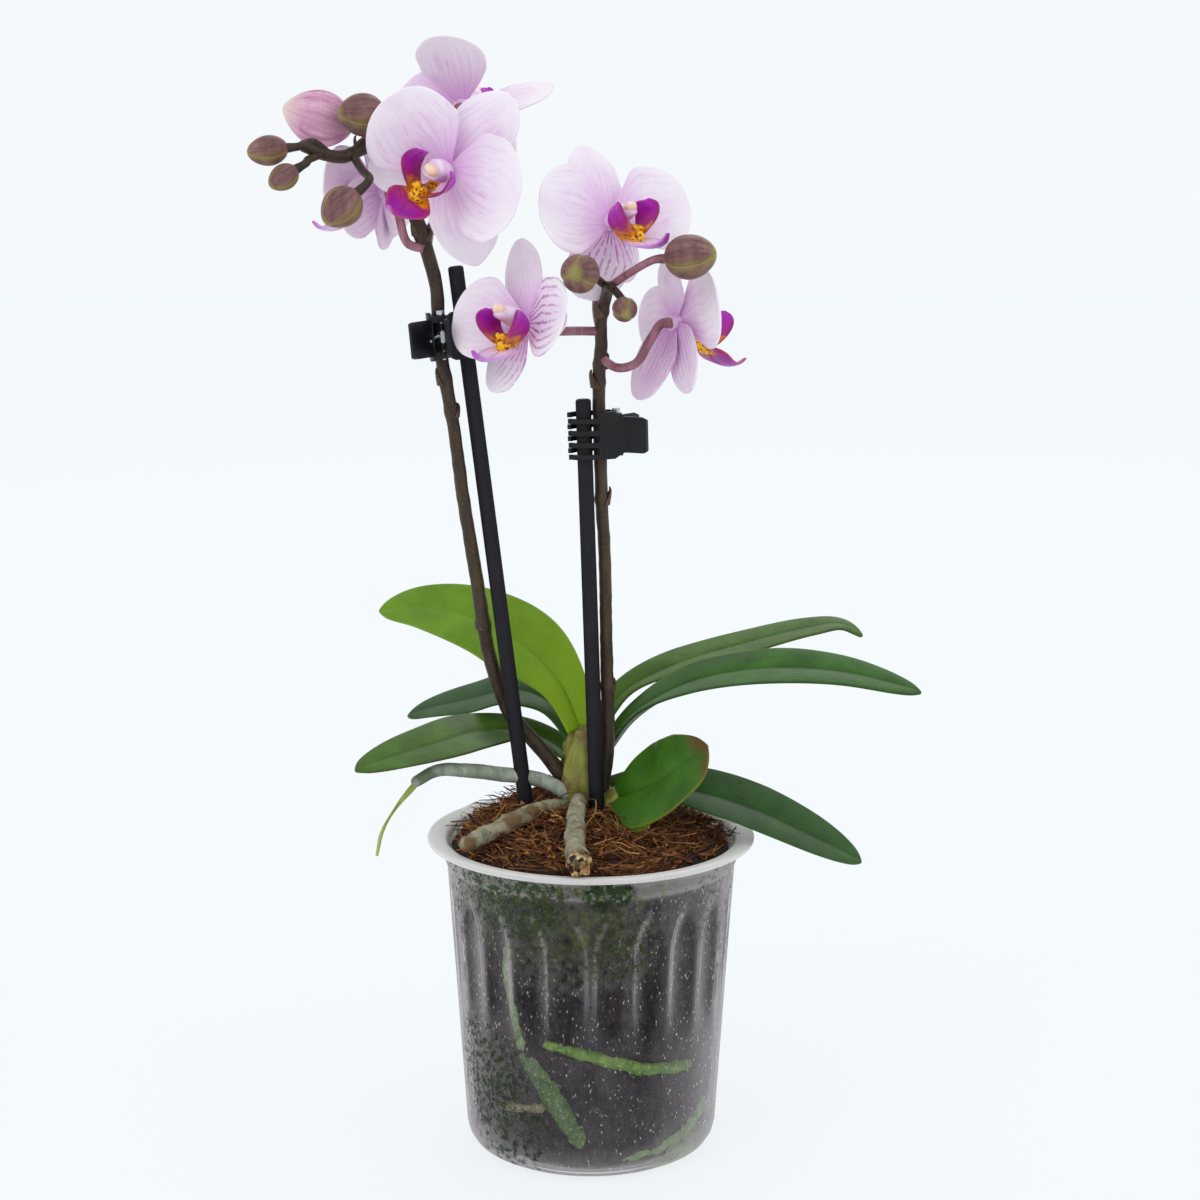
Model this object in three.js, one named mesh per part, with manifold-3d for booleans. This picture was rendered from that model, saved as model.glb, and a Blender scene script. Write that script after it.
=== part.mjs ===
// A small moth orchid in its clear nursery pot: a fluted pot filled with coir, a crown of seven leaves,
// grey aerial roots, green roots against the pot wall, two flower spikes with six blooms and eight buds,
// and two black stakes that the spikes are held to by small claw clips.
// Millimetres, +Z up, the front towards -Y. The origin is the middle of the pot's underside.
import * as THREE from 'three';
import { mergeVertices } from 'three/addons/utils/BufferGeometryUtils.js';
import Module from 'manifold-3d';

const wasm = await Module();
wasm.setup();

// ---------------------------------------------------------------- driving dimensions
const GAP = 0.3; // between pieces that rest on each other
const POT = {
  height: 88, rimRadius: 45, rimInner: 40, rimLip: 1.3, wall: 0.8,
  footRadius: 28, cornerRise: 6, baseRadius: 34.8, topRadius: 39.7,
  collarBottom: 81, collarStep: 0.6,
  flutes: 22, fluteDepth: 1.3, fluteLow: [35, 46], fluteHigh: [66, 74.5],
  drainRadius: 3, drainRing: 20, drains: 6,
};
const COIR = {
  edge: 85.4, rise: 8.4, leanX: -20, leanY: 12, leanRise: 3, leanSpread: 16,
  sides: 24, roughness: 0.7, chips: 9, seed: 7,
};
const CROWN = { x: -2, y: 3, bottom: 90, top: 116, halfWidth: 6.2, halfDepth: 4.6 };
const LEAF_THICKNESS = 1.6;
const TEPAL_THICKNESS = 0.7;
const STAKE_RADIUS = 2;
const STALK_RADIUS = { bloom: 1.2, bud: 1.05 };
const CLIP = {
  height: 12.6, plate: 1, halfWidth: 3.1, reach: 12.4, paddle: 10, paddleAngle: 45, paddleHeight: 9.6,
  toothHeight: 1.3, toothPitch: 3.2, teeth: 4, combStart: 5.2,
  pinRadius: 0.5, knuckleRadius: 1.6, knuckleHole: 0.85, knuckleHeight: 1.7, springRadius: 1.35, legRadius: 0.35,
};

// ---------------------------------------------------------------- points, curves and closed solids
const v3 = (x, y, z) => new THREE.Vector3(x, y, z);
const up = v3(0, 0, 1);
const front = v3(0, -1, 0);
const radians = THREE.MathUtils.degToRad;
const mix = THREE.MathUtils.lerp;
const smoothstep = THREE.MathUtils.smoothstep;
const along = (points) => new THREE.CatmullRomCurve3(points.map((p) => v3(...p)), false, 'centripetal');

function seededRandom(seed) {
  let state = seed;
  return () => {
    state = (state * 1664525 + 1013904223) % 4294967296;
    return state / 4294967296;
  };
}

function solidOf(geometry) {
  const bare = geometry.index ? geometry.toNonIndexed() : geometry.clone();
  bare.deleteAttribute('normal');
  bare.deleteAttribute('uv');
  const merged = mergeVertices(bare, 1e-4);
  return new wasm.Manifold(new wasm.Mesh({
    numProp: 3,
    vertProperties: merged.attributes.position.array,
    triVerts: new Uint32Array(merged.index.array),
  }));
}

// The closed solid that these triangles bound, whichever way round they were listed.
function solidFrom(points, triangles) {
  const solid = (order) => solidOf(new THREE.BufferGeometry()
    .setAttribute('position', new THREE.Float32BufferAttribute(points.flatMap((p) => p.toArray()), 3))
    .setIndex(order));
  const made = solid(triangles);
  return made.volume() > 0 ? made : solid(triangles.toReversed());
}

// Closes a stack of rings, each a list of as many points.
function loft(rings) {
  const count = rings[0].length;
  const points = rings.flat();
  const triangles = [];
  for (let i = 0; i + 1 < rings.length; i++) {
    for (let j = 0; j < count; j++) {
      const a = i * count + j;
      const b = i * count + ((j + 1) % count);
      triangles.push(a, b, b + count, a, b + count, a + count);
    }
  }
  const middle = (ring) => ring.reduce((sum, p) => sum.add(p), v3(0, 0, 0)).divideScalar(count);
  points.push(middle(rings[0]), middle(rings[rings.length - 1]));
  const last = (rings.length - 1) * count;
  for (let j = 0; j < count; j++) {
    const next = (j + 1) % count;
    triangles.push(points.length - 2, next, j, points.length - 1, last + j, last + next);
  }
  return solidFrom(points, triangles);
}

// A thin sheet with its middle at point(u, v): u runs along it from 0 to 1 and v across it from -1 to 1.
function sheet(point, normal, thickness, rows, columns) {
  const upper = [];
  const lower = [];
  for (let i = 0; i <= rows; i++) {
    for (let j = 0; j <= columns; j++) {
      const u = i / rows;
      const v = (2 * j) / columns - 1;
      const half = normal(u, v).multiplyScalar(thickness(u, v) / 2);
      upper.push(point(u, v).add(half));
      lower.push(point(u, v).sub(half));
    }
  }
  const at = (i, j) => i * (columns + 1) + j;
  const under = upper.length;
  const triangles = [];
  for (let i = 0; i < rows; i++) {
    for (let j = 0; j < columns; j++) {
      const [a, b, c, d] = [at(i, j), at(i + 1, j), at(i + 1, j + 1), at(i, j + 1)];
      triangles.push(a, c, b, a, d, c);
      triangles.push(a + under, b + under, c + under, a + under, c + under, d + under);
    }
  }
  const edge = [];
  for (let j = 0; j < columns; j++) edge.push(at(0, j));
  for (let i = 0; i < rows; i++) edge.push(at(i, columns));
  for (let j = columns; j > 0; j--) edge.push(at(rows, j));
  for (let i = rows; i > 0; i--) edge.push(at(i, 0));
  edge.forEach((a, k) => {
    const b = edge[(k + 1) % edge.length];
    triangles.push(a, a + under, b + under, a, b + under, b);
  });
  return solidFrom([...upper, ...lower], triangles);
}

// A round stem along a curve. radius(t) is its radius at t from 0 to 1, and grow makes it larger all round.
function stem(curve, radius, steps, sides, grow = 0) {
  const frames = curve.computeFrenetFrames(steps, false);
  const rings = [];
  for (let i = 0; i <= steps; i++) {
    const beyond = i === 0 ? -grow : Number(i === steps) * grow;
    const centre = curve.getPointAt(i / steps).addScaledVector(frames.tangents[i], beyond);
    const size = radius(i / steps) + grow;
    rings.push(Array.from({ length: sides }, (_, j) => {
      const angle = (2 * Math.PI * j) / sides;
      return centre.clone()
        .addScaledVector(frames.normals[i], size * Math.cos(angle))
        .addScaledVector(frames.binormals[i], size * Math.sin(angle));
    }));
  }
  return loft(rings);
}

const rod = (from, to, radius, sides = 8, grow = 0) => (
  stem(new THREE.LineCurve3(from, to), () => radius, 1, sides, grow)
);

const box = (low, high) => {
  const size = high.map((edge, i) => edge - low[i]);
  return solidOf(new THREE.BoxGeometry(...size).translate(...low.map((edge, i) => edge + size[i] / 2)));
};

// A flat outline of [x, y] points raised to this height, half above and half below the plane.
function prism(outline, height) {
  const shape = new THREE.Shape(outline.map(([x, y]) => new THREE.Vector2(x, y)));
  return solidOf(new THREE.ExtrudeGeometry(shape, { depth: height, bevelEnabled: false }).translate(0, 0, -height / 2));
}

const fuse = (solids) => wasm.Manifold.union(solids);
const largest = (solid) => solid.decompose().sort((a, b) => b.volume() - a.volume())[0];
const cut = (solid, tools) => largest(solid.subtract(fuse(tools)));

// A value that passes through this list of numbers as t goes from 0 to 1.
const through = (list) => (t) => {
  const place = Math.min(1, Math.max(0, t)) * (list.length - 1);
  const low = Math.min(Math.floor(place), list.length - 2);
  return mix(list[low], list[low + 1], place - low);
};

// ---------------------------------------------------------------- the pot
function wallRadius(z) {
  return mix(POT.baseRadius, POT.topRadius, (z - POT.cornerRise) / (POT.collarBottom - POT.cornerRise));
}

// How deep the flutes are pressed into the wall at this height: arched at the top, a slow run-out below.
function fluteShare(z) {
  return Math.min(smoothstep(z, ...POT.fluteLow), 1 - smoothstep(z, ...POT.fluteHigh));
}

function ringOf(count, radius, height) {
  return Array.from({ length: count }, (_, j) => {
    const angle = (2 * Math.PI * j) / count;
    const [x, y] = [radius(j) * Math.cos(angle), radius(j) * Math.sin(angle)];
    return v3(x, y, height(x, y));
  });
}

function wallRing(radius, z) {
  const pressed = POT.fluteDepth * fluteShare(z);
  return ringOf(2 * POT.flutes, (j) => radius - (j % 2 ? 0 : pressed), () => z);
}

function potSolid() {
  const { height, wall, rimRadius, rimInner, rimLip, collarStep, cornerRise, footRadius, collarBottom } = POT;
  const collar = POT.topRadius + collarStep;
  const levels = [cornerRise, ...POT.fluteLow, ...POT.fluteHigh, collarBottom];
  const body = loft([
    wallRing(footRadius, 0),
    wallRing(footRadius + 4.6, 1.6),
    ...levels.map((z) => wallRing(wallRadius(z), z)),
    wallRing(collar, collarBottom + 0.8),
    wallRing(collar + 0.4, height - 2.6),
    wallRing(rimRadius - 0.3, height - rimLip),
    wallRing(rimRadius, height - 0.4),
    wallRing(rimRadius - 0.6, height),
    wallRing(rimInner - 0.4, height - 0.6),
    wallRing(collar - wall, collarBottom + 1),
    ...levels.toReversed().map((z) => wallRing(wallRadius(z) - wall, z)),
    wallRing(footRadius + 4, 1.6 + wall),
    wallRing(footRadius, wall + 0.2),
  ]);
  const drains = Array.from({ length: POT.drains }, (_, k) => {
    const angle = radians((360 / POT.drains) * k);
    const [x, y] = [POT.drainRing * Math.cos(angle), POT.drainRing * Math.sin(angle)];
    return rod(v3(x, y, -1), v3(x, y, 3), POT.drainRadius);
  });
  return cut(body, drains);
}

// ---------------------------------------------------------------- the coir filling
function moundHeight(x, y) {
  const inside = 1 - Math.min(1, Math.hypot(x, y) / 38.5) ** 2.4;
  const lean = Math.exp(-((x - COIR.leanX) ** 2 + (y - COIR.leanY) ** 2) / (2 * COIR.leanSpread ** 2));
  return COIR.edge + (COIR.rise + COIR.leanRise * lean) * inside;
}

// A short blunt scrap of husk that sticks up out of the mound.
function coirChip(random) {
  const angle = random() * 2 * Math.PI;
  const distance = 34 * Math.sqrt(random());
  const heading = angle + Math.PI * mix(0.6, 1.4, random());
  const [x, y] = [distance * Math.cos(angle), distance * Math.sin(angle)];
  const reach = mix(2.5, 5, random());
  const tip = v3(x + reach * Math.cos(heading), y + reach * Math.sin(heading), 0);
  tip.z = moundHeight(tip.x, tip.y) + mix(1.2, 3, random());
  const root = v3(x, y, moundHeight(x, y) - 2);
  return stem(new THREE.LineCurve3(root, tip), (t) => mix(1, 0.4, t), 1, 4);
}

// The filling rests on the floor and touches the wall only where the flutes press in.
function coirSolid() {
  const random = seededRandom(COIR.seed);
  const floor = POT.wall + 0.2 + GAP;
  const inset = POT.wall + POT.fluteDepth + GAP + 0.1;
  const side = (z) => ringOf(COIR.sides, () => wallRadius(z) - inset, () => z);
  const skirt = ringOf(COIR.sides, () => POT.topRadius - POT.wall - 0.7, () => COIR.edge - 0.4);
  const top = [34, 28, 21, 13, 4].map((r) => ringOf(
    COIR.sides,
    () => r,
    (x, y) => moundHeight(x, y) + COIR.roughness * (2 * random() - 1),
  ));
  const body = loft([
    ringOf(COIR.sides, () => POT.footRadius - 2, () => floor),
    ringOf(COIR.sides, () => POT.footRadius + 2.6, () => floor + 2),
    side(POT.cornerRise + 2), side(POT.fluteHigh[1]), skirt, ...top,
  ]);
  return fuse([body, ...Array.from({ length: COIR.chips }, () => coirChip(random))]);
}

// ---------------------------------------------------------------- leaves and crown
// Each leaf: its midrib from the crown to the tip, its widest half width, how far its upper face is
// turned to the front and how steeply its two halves fold up from the midrib. A leaf reaches its width
// by the share of its length in full, and the higher blunt is, the longer it keeps that width.
const LEAVES = {
  leaf_left_top: {
    rib: [[-3, 8, 115], [-9, 12, 127.5], [-21, 18, 138], [-35, 22, 144], [-48, 25, 146], [-60, 26, 145]],
    halfWidth: 13.6, turned: 34, fold: 10,
  },
  leaf_left_middle: {
    rib: [[-4, 9, 112], [-10, 16, 119.5], [-21, 25, 122], [-35, 30, 118], [-46, 33, 115], [-53, 34, 112.5]],
    halfWidth: 11, turned: 18, fold: 12,
  },
  leaf_left_low: {
    rib: [[-5.3, 8.7, 106.5], [-12, 16, 109.5], [-21, 17.5, 112], [-31, 11, 113.5], [-42, -1, 113], [-52, -10, 112],
      [-63, -18, 110]],
    halfWidth: 9.4, turned: 18, fold: 10, blunt: 4.6,
  },
  leaf_right_top: {
    rib: [[2, 9, 115], [9, 15, 123.5], [24, 20, 130.5], [44, 24, 135.8], [62, 27, 139.7], [71, 28, 140.5], [77, 27, 137.5]],
    halfWidth: 8.5, turned: 10, fold: 12, full: 0.42, blunt: 4.6,
  },
  leaf_right_middle: {
    rib: [[4, 7, 108], [12, 6, 119], [27, 1, 129.5], [46, -4, 134.5], [67, -7, 134.3], [89, -10, 129.5]],
    halfWidth: 9.5, turned: 18, fold: 12, full: 0.36, blunt: 5.5,
  },
  leaf_right_front: {
    rib: [[7.5, -1.5, 97.6], [12, -7, 101], [18, -14, 105.5], [25, -19, 112], [31, -21, 118]],
    halfWidth: 14, turned: 54, fold: 8, full: 0.4,
  },
  leaf_right_low: {
    rib: [[5, 7, 98], [13, 5, 100.3], [28, -2, 99.8], [45, -4, 94.8], [60, -6, 88.2], [74, -8, 81.5]],
    halfWidth: 11.5, turned: 20, fold: 16, blunt: 4.6,
  },
};

function leafFrame(leaf, u) {
  const curve = along(leaf.rib);
  const heading = curve.getTangentAt(u);
  const level = heading.clone().cross(up).normalize();
  if (level.dot(front) < 0) level.negate();
  const raised = level.clone().cross(heading);
  if (raised.z < 0) raised.negate();
  const normal = raised.multiplyScalar(Math.cos(radians(leaf.turned)))
    .addScaledVector(level, Math.sin(radians(leaf.turned)));
  return { centre: curve.getPointAt(u), heading, normal, side: normal.clone().cross(heading) };
}

// Narrow and channelled at the crown, widest past the middle, blunt at the tip.
function leafHalfWidth(leaf, u) {
  const neck = mix(0.42, 1, smoothstep(u, 0, leaf.full ?? 0.5));
  return leaf.halfWidth * neck * (1 - u ** (leaf.blunt ?? 3.4)) ** 0.62 + 0.25;
}

function leafSolid(leaf) {
  const foldAt = (u) => radians(mix(38, leaf.fold, smoothstep(u, 0, 0.45)));
  const point = (u, v) => {
    const { centre, side, normal } = leafFrame(leaf, u);
    const reach = leafHalfWidth(leaf, u);
    const rise = Math.abs(v) - 0.35 * v * v;
    return centre.addScaledVector(side, v * reach * Math.cos(foldAt(u)))
      .addScaledVector(normal, rise * reach * Math.sin(foldAt(u)));
  };
  const thickness = (u, v) => LEAF_THICKNESS * (1 - 0.4 * v * v) * mix(1, 0.72, u);
  return sheet(point, (u) => leafFrame(leaf, u).normal, thickness, 7, 4);
}

// The short stem and the sheaths that clasp it, each reaching out to where its leaf starts.
function crownSolid(grow) {
  const { x, y, bottom, top, halfWidth, halfDepth } = CROWN;
  const levels = [[0, 0.55], [0.18, 0.9], [0.42, 1], [0.7, 0.82], [1, 0.42]];
  const core = loft(levels.map(([share, size]) => ringOf(
    8,
    () => halfWidth * size + grow,
    () => mix(bottom - grow, top + grow, share),
  ).map((p) => v3(x + p.x, y + p.y * (halfDepth / halfWidth), p.z))));
  const sheaths = Object.values(LEAVES).map((leaf) => {
    const start = v3(...leaf.rib[0]);
    const { heading, side, normal } = leafFrame(leaf, 0.02);
    const root = v3(mix(x, start.x, 0.25), mix(y, start.y, 0.4), Math.max(bottom + 5, start.z - 9));
    root.addScaledVector(start.clone().sub(root).normalize(), -grow);
    const end = start.clone().addScaledVector(heading, 1.2 + grow);
    const sections = [[root, 4, 3.2], [root.clone().lerp(end, 0.6), 4.6, 2.6], [end, 4.2, 1.7]];
    return loft(sections.map(([centre, wide, deep]) => Array.from({ length: 6 }, (_, j) => {
      const angle = (Math.PI * j) / 3;
      return centre.clone()
        .addScaledVector(side, (wide + grow) * Math.cos(angle))
        .addScaledVector(normal, (deep + grow) * Math.sin(angle));
    })));
  });
  return fuse([core, ...sheaths]);
}

// ---------------------------------------------------------------- roots
const ROOTS = {
  root_hanging: {
    path: [[-6, 2, 98], [-13, 2, 102], [-25, 0, 104.5], [-34, -2, 106], [-42, -4, 106.5], [-47.5, -6, 104]],
    radii: [2, 2.1, 1.9],
    thread: [[-46, -5.6, 105.2], [-53, -7, 97], [-57, -7, 90], [-58.5, -7, 83.5]],
  },
  root_left: {
    path: [[-7.5, -1.5, 95.5], [-13.5, -6, 96.2], [-22, -14, 94.5], [-30, -21, 92.2], [-33, -24, 91.4]],
    radii: [2, 2.4, 2],
  },
  root_front: {
    path: [[-3, -3, 98], [-3.5, -9, 98.6], [-4, -17, 96.5], [-4, -30, 93], [-3, -41, 91.6]],
    radii: [2, 2.6, 3.1],
  },
  root_right: { path: [[0, -4, 94], [6, -12, 93.4], [10, -17, 93], [15, -18, 94.5]], radii: [1.4, 1.3, 0.9] },
};

function rootSolid({ path, radii, thread }, grow) {
  const radius = through(radii);
  const parts = [stem(along(path), radius, 8, 7, grow)];
  if (thread) parts.push(stem(along(thread), (t) => mix(0.75, 0.4, t), 6, 4, grow));
  return fuse(parts);
}

// Roots that press against the inside of the pot wall: [degrees round from the front, height] pairs.
const WALL_ROOTS = {
  wall_root_1: { path: [[-39, 66], [-39.5, 56], [-38, 46], [-33, 37]], radius: 2.1 },
  wall_root_2: { path: [[-20, 38.5], [-4, 36.5], [10, 34], [24, 31.3], [38, 29.6], [52, 28.6]], radius: 1.8 },
  wall_root_3: { path: [[-31, 33], [-20, 25], [-10, 16], [-5, 11]], radius: 3.8 },
  wall_root_4: { path: [[4, 5], [20, 5.4], [40, 6.6], [58, 9.5], [72, 13.5]], radius: 2.2 },
  wall_root_5: { path: [[-47, 17.5], [-36, 18.5], [-24, 19.5]], radius: 1.5 },
};

function wallRootSolid({ path, radius }, grow) {
  const inset = POT.wall + GAP + radius + 0.25;
  const onWall = path.map(([degrees, z]) => {
    const corner = Math.max(0, 11 - z) ** 2 * 0.075;
    const r = wallRadius(z) - inset - corner - POT.fluteDepth * fluteShare(z);
    return [r * Math.sin(radians(degrees)), -r * Math.cos(radians(degrees)), z];
  });
  return stem(along(onWall), (t) => radius * (0.75 + 0.25 * Math.sin(Math.PI * t)), 5, 5, grow);
}

// ---------------------------------------------------------------- buds
// Each bud: the end of its stalk, the direction it points in, its length and its width.
const BUDS = {
  bud_pink: { base: [-61.5, -1.2, 278.4], points: [-0.93, -0.1, 0.28], length: 19.5, width: 14.5, blunt: 0.5 },
  bud_upper: { base: [-52.2, -10.2, 281.9], points: [-0.95, -0.28, 0.02], length: 13, width: 11, blunt: 0.6 },
  bud_lower: { base: [-57.8, -29.7, 263], points: [-0.72, -0.2, -0.66], length: 12, width: 10, blunt: 0.6 },
  bud_outer: { base: [-75.4, -27.1, 273.6], points: [-0.96, -0.22, -0.12], length: 10.6, width: 7.6, blunt: 0.75 },
  bud_tip: { base: [-73, -29.2, 268.6], points: [-0.78, -0.3, -0.5], length: 8.6, width: 6.4, blunt: 0.7 },
  bud_round: { base: [-1, -23.3, 242], points: [-0.28, -0.93, 0.06], length: 11, width: 9.8, blunt: 0.8 },
  bud_big: { base: [18.6, -23.7, 245.8], points: [0.94, -0.24, 0.1], length: 13.8, width: 11.4, blunt: 0.8 },
  bud_small: { base: [8.4, -21.8, 234.4], points: [0.1, -0.9, -0.35], length: 7, width: 6.4, blunt: 0.75 },
};

// Three sepals wrap the bud: it is full between their seams and creased along them.
function budSolid({ base, points, length, width, blunt }) {
  const axis = v3(...points).normalize();
  const side = axis.clone().cross(up).normalize();
  const other = axis.clone().cross(side);
  const start = v3(...base).addScaledVector(axis, GAP);
  return loft([0.01, 0.1, 0.3, 0.55, 0.8, 0.96].map((t) => {
    const full = Math.sin(Math.PI * t ** 0.9) ** mix(0.8, 0.42, blunt);
    return Array.from({ length: 9 }, (_, j) => {
      const size = (width / 2) * full * (j % 3 === 0 ? 0.9 : 1.03) + 0.25;
      const angle = (2 * Math.PI * j) / 9;
      return start.clone().addScaledVector(axis, length * t)
        .addScaledVector(side, size * Math.cos(angle))
        .addScaledVector(other, size * Math.sin(angle));
    });
  }));
}

// ---------------------------------------------------------------- blooms
// A tepal is [angle in the face of the bloom, lean towards the viewer, twist, length, width]: degrees, from
// the viewer's right and anticlockwise, and lengths as shares of the bloom's size.
const TEPALS = {
  sepal_top: [90, 4, 0, 0.5, 0.33],
  petal_left: [172, 12, 0, 0.5, 0.56],
  petal_right: [8, 12, 0, 0.5, 0.56],
  sepal_left: [226, -4, 0, 0.48, 0.34],
  sepal_right: [314, -4, 0, 0.48, 0.34],
};
// Each bloom: its middle, the way it faces, which way its top sepal points, its size across, the way its
// lip faces where that isn't the bloom's own way, and the tepals that are held another way than usual.
const BLOOMS = {
  bloom_a: {
    centre: [-34, 15, 285], faces: [0.3, 0.92, 0.25], top: [0.05, 0, 1], size: 46,
    lipFaces: [0.1, 0.98, 0.17],
    tepals: {
      sepal_top: [84, -20, 0, 0.49, 0.42], petal_right: [-18, 15, 0, 0.46, 0.46], petal_left: [171, 4, -68, 0.56, 0.28],
      sepal_left: [222, -6, 0, 0.44, 0.3], sepal_right: [300, -2, 0, 0.46, 0.3],
    },
  },
  bloom_b: {
    centre: [-36.2, -17, 268], faces: [-0.36, -0.92, -0.06], top: [0.62, 0, 0.78], size: 50,
    tepals: {
      sepal_top: [82, 5, 0, 0.51, 0.35], petal_left: [158, 27, 0, 0.48, 0.53], petal_right: [20, 20, 0, 0.49, 0.54],
      sepal_left: [217, -3, 0, 0.5, 0.31], sepal_right: [315, -8, 0, 0.52, 0.38],
    },
  },
  bloom_c: {
    centre: [-55.6, 6.6, 262.2], faces: [-0.88, 0.46, 0], top: [0.2, 0, 1], size: 45,
    tepals: {
      sepal_top: [90, 16, 0, 0.45, 0.33], petal_right: [3, 14, 0, 0.48, 0.46],
      sepal_left: [222, 24, 0, 0.46, 0.32], sepal_right: [335, 5, 0, 0.47, 0.36],
    },
  },
  bloom_d: {
    centre: [4.8, -9, 254.4], faces: [0.54, -0.78, 0.32], top: [-0.1, 0, 1], size: 45,
    lipFaces: [0.61, -0.75, 0.27],
    tepals: {
      sepal_top: [87, -4, 0, 0.5, 0.36], petal_left: [160, 8, 0, 0.5, 0.54], petal_right: [7, 18, 0, 0.52, 0.5],
      sepal_left: [250, -26, 0, 0.46, 0.42], sepal_right: [312, -24, 0, 0.44, 0.32],
    },
  },
  bloom_e: {
    centre: [-16.0, -18.8, 229.0], faces: [-0.7, -0.62, 0.3], top: [0, 0, 1], size: 45,
    lipFaces: [-0.6, -0.79, 0.12],
    tepals: {
      sepal_top: [116, 8, 0, 0.54, 0.3], petal_left: [188, 37, 0, 0.45, 0.48], petal_right: [8, 16, 0, 0.43, 0.46],
      sepal_left: [227, -5, 0, 0.52, 0.34], sepal_right: [5, 9, 0, 0.34, 0.24],
    },
  },
  bloom_f: {
    centre: [22.9, -4, 228.7], faces: [0.87, 0.47, 0.04], top: [-0.35, 0, 0.94], size: 45,
    lipFaces: [0.87, 0.47, -0.12],
    tepals: {
      sepal_top: [92, 2, 0, 0.38, 0.28], petal_left: [170, 4, 0, 0.48, 0.48], petal_right: [2, 4, 0, 0.48, 0.46],
      sepal_left: [242, -4, 0, 0.48, 0.36], sepal_right: [300, -17, 0, 0.52, 0.36],
    },
  },
};
const COLUMN_BACK = -2.2;

function bloomFrame({ centre, faces, top, size }) {
  const face = v3(...faces).normalize();
  const right = v3(...top).cross(face).normalize();
  const upward = face.clone().cross(right);
  const scale = size / 44;
  const at = (x, y, z) => v3(...centre).addScaledVector(right, x * scale)
    .addScaledVector(upward, y * scale).addScaledVector(face, z * scale);
  return { right, upward, face, scale, at };
}

function tepalSolid(frame, size, [degrees, lean, twist, length, width], isPetal) {
  const out = frame.right.clone().multiplyScalar(Math.cos(radians(degrees)))
    .addScaledVector(frame.upward, Math.sin(radians(degrees)));
  const heading = out.clone().multiplyScalar(Math.cos(radians(lean)))
    .addScaledVector(frame.face, Math.sin(radians(lean)));
  const normal = frame.face.clone().multiplyScalar(Math.cos(radians(lean)))
    .addScaledVector(out, -Math.sin(radians(lean)))
    .applyAxisAngle(heading, radians(twist));
  const side = heading.clone().cross(normal);
  const reach = size * length;
  const half = (size * width) / 2;
  const neck = (u) => Math.min(1, 0.14 + (isPetal ? 1.9 : 3) * u) ** 0.8;
  const widest = isPetal ? 0.52 : 0.5;
  const outline = (u) => half * neck(u) * Math.sqrt(Math.max(0.02, 1 - ((u - widest) / 0.51) ** 2)) + 0.3;
  const [curl, cup] = isPetal ? [-0.07, 0.1] : [-0.1, -0.12];
  const point = (u, v) => frame.at(0, 0, 0)
    .addScaledVector(heading, reach * u)
    .addScaledVector(side, v * outline(u))
    .addScaledVector(normal, curl * reach * u * u + cup * half * v * v * Math.sin(Math.PI * u));
  return sheet(point, () => normal.clone(), () => TEPAL_THICKNESS, 4, isPetal ? 4 : 2);
}

function bloomSolid(bloom) {
  const frame = bloomFrame(bloom);
  const { at, scale } = frame;
  const tepals = Object.entries({ ...TEPALS, ...bloom.tepals })
    .map(([name, tepal]) => tepalSolid(frame, bloom.size, tepal, name.startsWith('petal')));
  const column = stem(
    new THREE.QuadraticBezierCurve3(at(0, -0.4, COLUMN_BACK), at(0, 0.6, 4), at(0, 0, 9)),
    (t) => scale * through([2, 1.5, 2, 1.6])(t),
    3,
    6,
  );
  return fuse([...tepals, column]);
}

// The lip: a raised ridge under the column, two rounded wings that stand up beside it, and a middle lobe
// that runs forward and turns up at its tip.
function lipSolid(bloom) {
  const { at, right, upward, face, scale } = bloomFrame({ ...bloom, faces: bloom.lipFaces ?? bloom.faces });
  const ridge = stem(
    new THREE.QuadraticBezierCurve3(at(0, -2.25, 2.4), at(0, -5.4, 4), at(0, -6, 9.5)),
    (t) => scale * mix(1, 1.9, t),
    2,
    5,
  );
  const wing = (s) => sheet(
    (u, v) => at(
      s * (1.2 + 3.7 * Math.sin(1.7 * u) + 1.3 * v * u),
      -5.6 + 8.6 * u,
      8.6 + 1.2 * u + 3.9 * v * Math.sqrt(Math.max(0.06, 1 - (u - 0.55) ** 2 * 3)),
    ),
    () => right.clone().multiplyScalar(s),
    () => TEPAL_THICKNESS,
    3,
    2,
  );
  const lobe = sheet(
    (u, v) => at(
      v * (1.2 - 0.7 * u + 4.6 * Math.sin(Math.PI * Math.min(1, u * 1.1)) ** 0.8 * (1 - 0.4 * u)),
      -6 - 4.4 * Math.sin(2.4 * u) + 1.2 * v * v,
      8 + 13 * u,
    ),
    () => upward.clone().addScaledVector(face, 0.4).normalize(),
    () => 0.9 * scale,
    3,
    2,
  );
  return fuse([ridge, wing(1), wing(-1), lobe]);
}

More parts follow.
